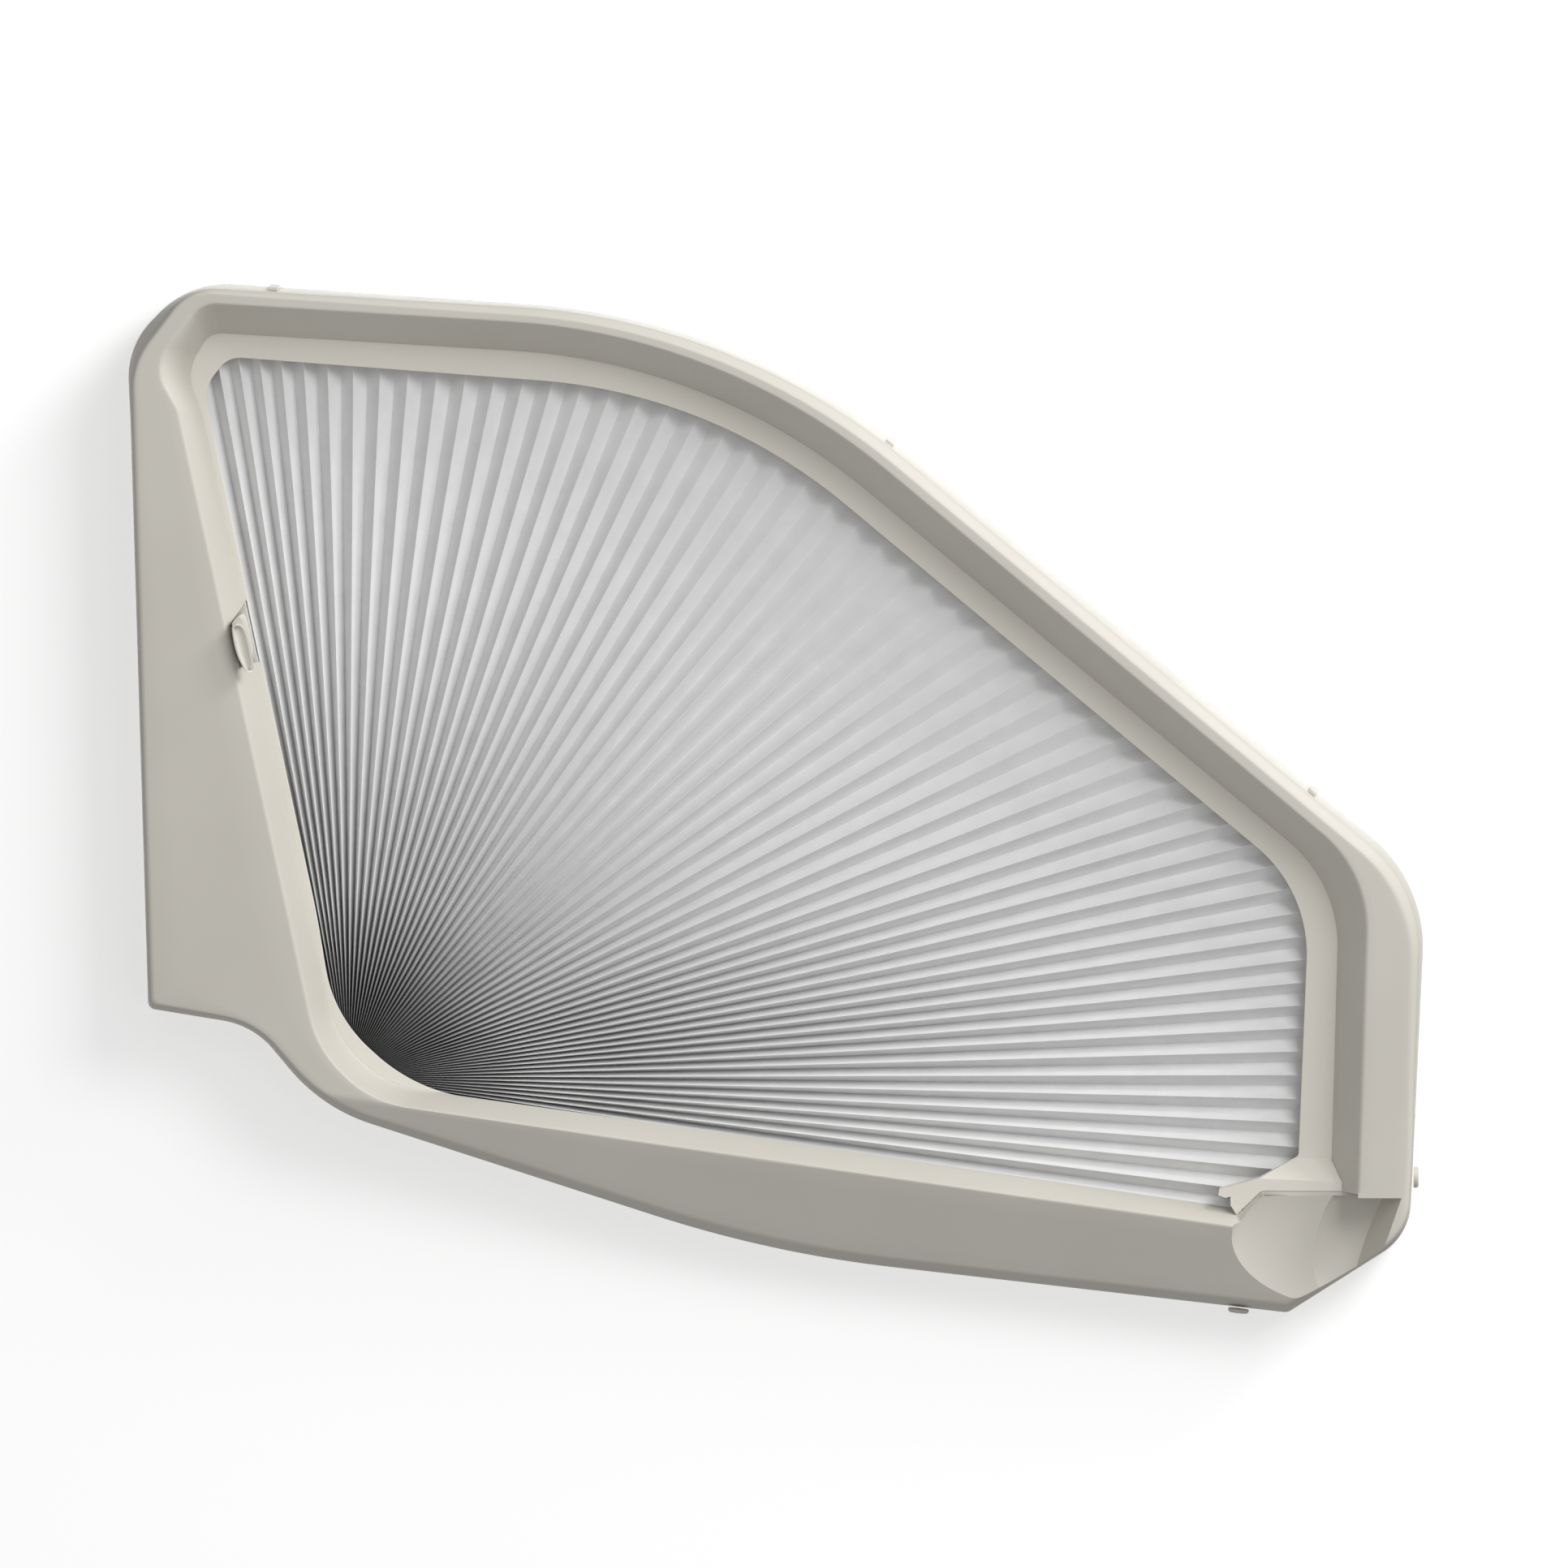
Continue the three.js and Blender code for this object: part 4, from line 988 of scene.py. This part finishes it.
def moulded_plastic(name, low, high, roughness):
    """Moulded plastic with fine grain, slow tone and handled patches."""
    material, tree, shader = new_material(name)
    grain = place_group(tree, moulded_grain, {"Grain Scale": PLASTIC_GRAIN, "Tone Scale": PLASTIC_TONE})
    worn = place_group(tree, handling, {"Patch Scale": HANDLED_PATCH, "Speck Scale": HANDLED_SPECK})
    tree.links.new(ramp(tree, grain.outputs["Tone"], low, high), shader.inputs["Base Color"])
    polished = grey(roughness - PLASTIC_POLISH)
    dulled = grey(roughness + PLASTIC_DULLING)
    tree.links.new(
        ramp(tree, worn.outputs["Mask"], polished, dulled, HANDLED_RAMP_SHARES),
        shader.inputs["Roughness"],
    )
    bump(tree, shader, grain.outputs["Height"], PLASTIC_BUMP, PLASTIC_GRAIN_DEPTH)
    shader.inputs["Specular IOR Level"].default_value = PLASTIC_SHINE
    return material


def fan_cloth_material(name, low, high, roughness, sheen):
    """Coated pleating cloth: a fine plain weave, soft mottling, and painted shade that darkens its colour
    towards the pivot, where the folds are deep and close.
    """
    material, tree, shader = new_material(name)
    unfolded = tree.nodes.new("ShaderNodeUVMap")
    unfolded.uv_map = "cloth"
    heights = []
    for direction in ("X", "Y"):
        threads = tree.nodes.new("ShaderNodeTexWave")
        threads.bands_direction = direction
        threads.inputs["Scale"].default_value = THREAD_SCALE
        threads.inputs["Distortion"].default_value = THREAD_WANDER
        tree.links.new(unfolded.outputs["UV"], threads.inputs["Vector"])
        heights.append(threads.outputs["Fac"])
    weave = tree.nodes.new("ShaderNodeMath")
    weave.operation = "MULTIPLY"
    tree.links.new(heights[0], weave.inputs[0])
    tree.links.new(heights[1], weave.inputs[1])
    mottle = tree.nodes.new("ShaderNodeTexNoise")
    mottle.inputs["Scale"].default_value = MOTTLE_SCALE
    mottle.inputs["Detail"].default_value = MOTTLE_DETAIL
    tree.links.new(unfolded.outputs["UV"], mottle.inputs["Vector"])
    along = tree.nodes.new("ShaderNodeSeparateXYZ")
    tree.links.new(unfolded.outputs["UV"], along.inputs["Vector"])
    # Painted shade: the colour darkens towards the pivot, by distance from it, standing in for the shade
    # between the close deep folds there
    pivot_shade = tree.nodes.new("ShaderNodeMapRange")
    pivot_shade.interpolation_type = "SMOOTHSTEP"
    pivot_shade.inputs["From Min"].default_value = PIVOT_SHADE_START
    pivot_shade.inputs["From Max"].default_value = PIVOT_SHADE_END
    tree.links.new(along.outputs["Y"], pivot_shade.inputs["Value"])
    shade_mix = tree.nodes.new("ShaderNodeMix")
    shade_mix.data_type = "RGBA"
    shade_mix.inputs["A"].default_value = (*[value * PIVOT_SHADE_TONE for value in low], 1)
    tree.links.new(pivot_shade.outputs["Result"], shade_mix.inputs["Factor"])
    tree.links.new(ramp(tree, mottle.outputs["Fac"], low, high), shade_mix.inputs["B"])
    tree.links.new(shade_mix.outputs["Result"], shader.inputs["Base Color"])
    bump(tree, shader, weave.outputs[0], THREAD_BUMP, THREAD_DEPTH)
    shader.inputs["Roughness"].default_value = roughness
    shader.inputs["Specular IOR Level"].default_value = CLOTH_SHINE
    shader.inputs["Sheen Weight"].default_value = sheen
    return material


def turned_metal(name, low, high, roughness):
    """Bright metal with fine turning marks."""
    material, tree, shader = new_material(name)
    grain = place_group(tree, moulded_grain, {"Grain Scale": METAL_GRAIN, "Tone Scale": METAL_TONE})
    tree.links.new(ramp(tree, grain.outputs["Tone"], low, high), shader.inputs["Base Color"])
    polished = grey(roughness - METAL_POLISH)
    dulled = grey(roughness + METAL_DULLING)
    tree.links.new(ramp(tree, grain.outputs["Height"], polished, dulled), shader.inputs["Roughness"])
    bump(tree, shader, grain.outputs["Height"], METAL_BUMP, METAL_GRAIN_DEPTH)
    shader.inputs["Metallic"].default_value = 1
    return material


def paint(piece, material):
    """One finish all over a piece."""
    piece.data.materials.clear()
    piece.data.materials.append(material)


# Studio

def studio_camera():
    """Long lens a little to the right of the blind and above it."""
    data = bpy.data.cameras.new("studio_camera")
    camera = bpy.data.objects.new("studio_camera", data)
    bpy.context.scene.collection.objects.link(camera)
    back = Vector((
        math.sin(CAMERA_TURN) * math.cos(CAMERA_LIFT),
        -math.cos(CAMERA_TURN) * math.cos(CAMERA_LIFT),
        math.sin(CAMERA_LIFT),
    ))
    camera.location = AIM + back * CAMERA_DISTANCE
    camera.rotation_euler = (-back).to_track_quat("-Z", "Y").to_euler()
    data.sensor_width = SENSOR_WIDTH * MILLIMETRES
    data.lens = data.sensor_width * CAMERA_DISTANCE / PICTURE_WIDTH
    data.clip_end = CAMERA_REACH
    bpy.context.scene.camera = camera


def soft_light(box):
    """Square soft box aimed at the middle of the blind."""
    data = bpy.data.lights.new(box.name, "AREA")
    data.energy = box.power
    data.size = box.size
    light = bpy.data.objects.new(box.name, data)
    light.location = box.place
    light.rotation_euler = (AIM - box.place).to_track_quat("-Z", "Y").to_euler()
    bpy.context.scene.collection.objects.link(light)


def studio_wall():
    """Pale wall close behind the blind, seen from the front only. It keeps no light from the blind's back."""
    bpy.ops.object.select_all(action="DESELECT")
    bpy.ops.mesh.primitive_plane_add(
        size=STAGE_SIZE, location=(0, WALL_GAP, 0), rotation=(math.radians(90), 0, 0))
    wall = bpy.context.object
    wall.name = "studio_wall"
    material, tree, shader = new_material("studio_paper")
    shader.inputs["Base Color"].default_value = (*grey(PAPER_TONE), 1)
    shader.inputs["Roughness"].default_value = PAPER_ROUGHNESS
    shader.inputs["Specular IOR Level"].default_value = 0
    glow = tree.nodes.new("ShaderNodeEmission")
    glow.inputs["Strength"].default_value = PAPER_GLOW
    seen = tree.nodes.new("ShaderNodeLightPath")
    paper = tree.nodes.new("ShaderNodeMixShader")
    paper.inputs["Fac"].default_value = PAPER_SHARE
    tree.links.new(shader.outputs["BSDF"], paper.inputs[1])
    tree.links.new(glow.outputs["Emission"], paper.inputs[2])
    clear = tree.nodes.new("ShaderNodeBsdfTransparent")
    mix = tree.nodes.new("ShaderNodeMixShader")
    side = tree.nodes.new("ShaderNodeNewGeometry")
    shown = tree.nodes.new("ShaderNodeMath")
    shown.operation = "SUBTRACT"
    shown.use_clamp = True
    tree.links.new(seen.outputs["Is Camera Ray"], shown.inputs[0])
    tree.links.new(side.outputs["Backfacing"], shown.inputs[1])
    tree.links.new(shown.outputs[0], mix.inputs["Fac"])
    tree.links.new(clear.outputs["BSDF"], mix.inputs[1])
    tree.links.new(paper.outputs["Shader"], mix.inputs[2])
    tree.links.new(mix.outputs["Shader"], tree.nodes["Material Output"].inputs["Surface"])
    paint(wall, material)


def studio_world():
    """Even pale light from all round."""
    world = bpy.data.worlds.new("studio_world")
    bpy.context.scene.world = world
    world.use_nodes = True
    sky = world.node_tree.nodes["Background"]
    sky.inputs["Color"].default_value = (1, 1, 1, 1)
    sky.inputs["Strength"].default_value = WORLD_GLOW


bpy.context.scene.view_settings.view_transform = "Standard"
studio_camera()
studio_world()
studio_wall()
for soft_box in SOFT_BOXES:
    soft_light(soft_box)

moulded_grain = moulded_grain_group()
handling = handling_group()
finishes = {kind: moulded_plastic(*finish) for kind, finish in PLASTICS.items()}
finishes.update({kind: turned_metal(*finish) for kind, finish in METALS.items()})
finishes["pleat"] = fan_cloth_material(*CLOTH, CLOTH_SHEEN)
for node_name, node in nodes.items():
    kind = NODE_FINISHES.get(node_name, "steel" if node_name.startswith("frame_screw") else "casing")
    paint(node, finishes[kind])

cover = front_cover()
paint(cover, finishes["casing"])
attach(cover, "frame")
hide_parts("front_cover")

guide = guide_frame()
paint(guide, finishes["guide"])
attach(guide, "frame")
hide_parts("guide_frame")

grip = finger_grip()
paint(grip, finishes["grip"])
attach(grip, "rail")
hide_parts("finger_grip")

screen_edge = loop_of(grown(window, SCREEN_TUCK))
screen, cloth_area = pleated_screen()
paint(screen, finishes["pleat"])
# A fan turns about its pivot, so the cloth keeps each fold's own share of the swing: it is saved here and
# written over the even spread below.
own_turn = [point.value for point in screen.data.attributes["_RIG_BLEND"].data]
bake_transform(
    screen,
    "frame",
    "rail",
    start=(math.cos(first_fold_angle), 0, math.sin(first_fold_angle)),
    end=(math.cos(last_fold_angle), 0, math.sin(last_fold_angle)),
)
screen.data.attributes["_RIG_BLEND"].data.foreach_set("value", own_turn)
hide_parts("pleated_screen")
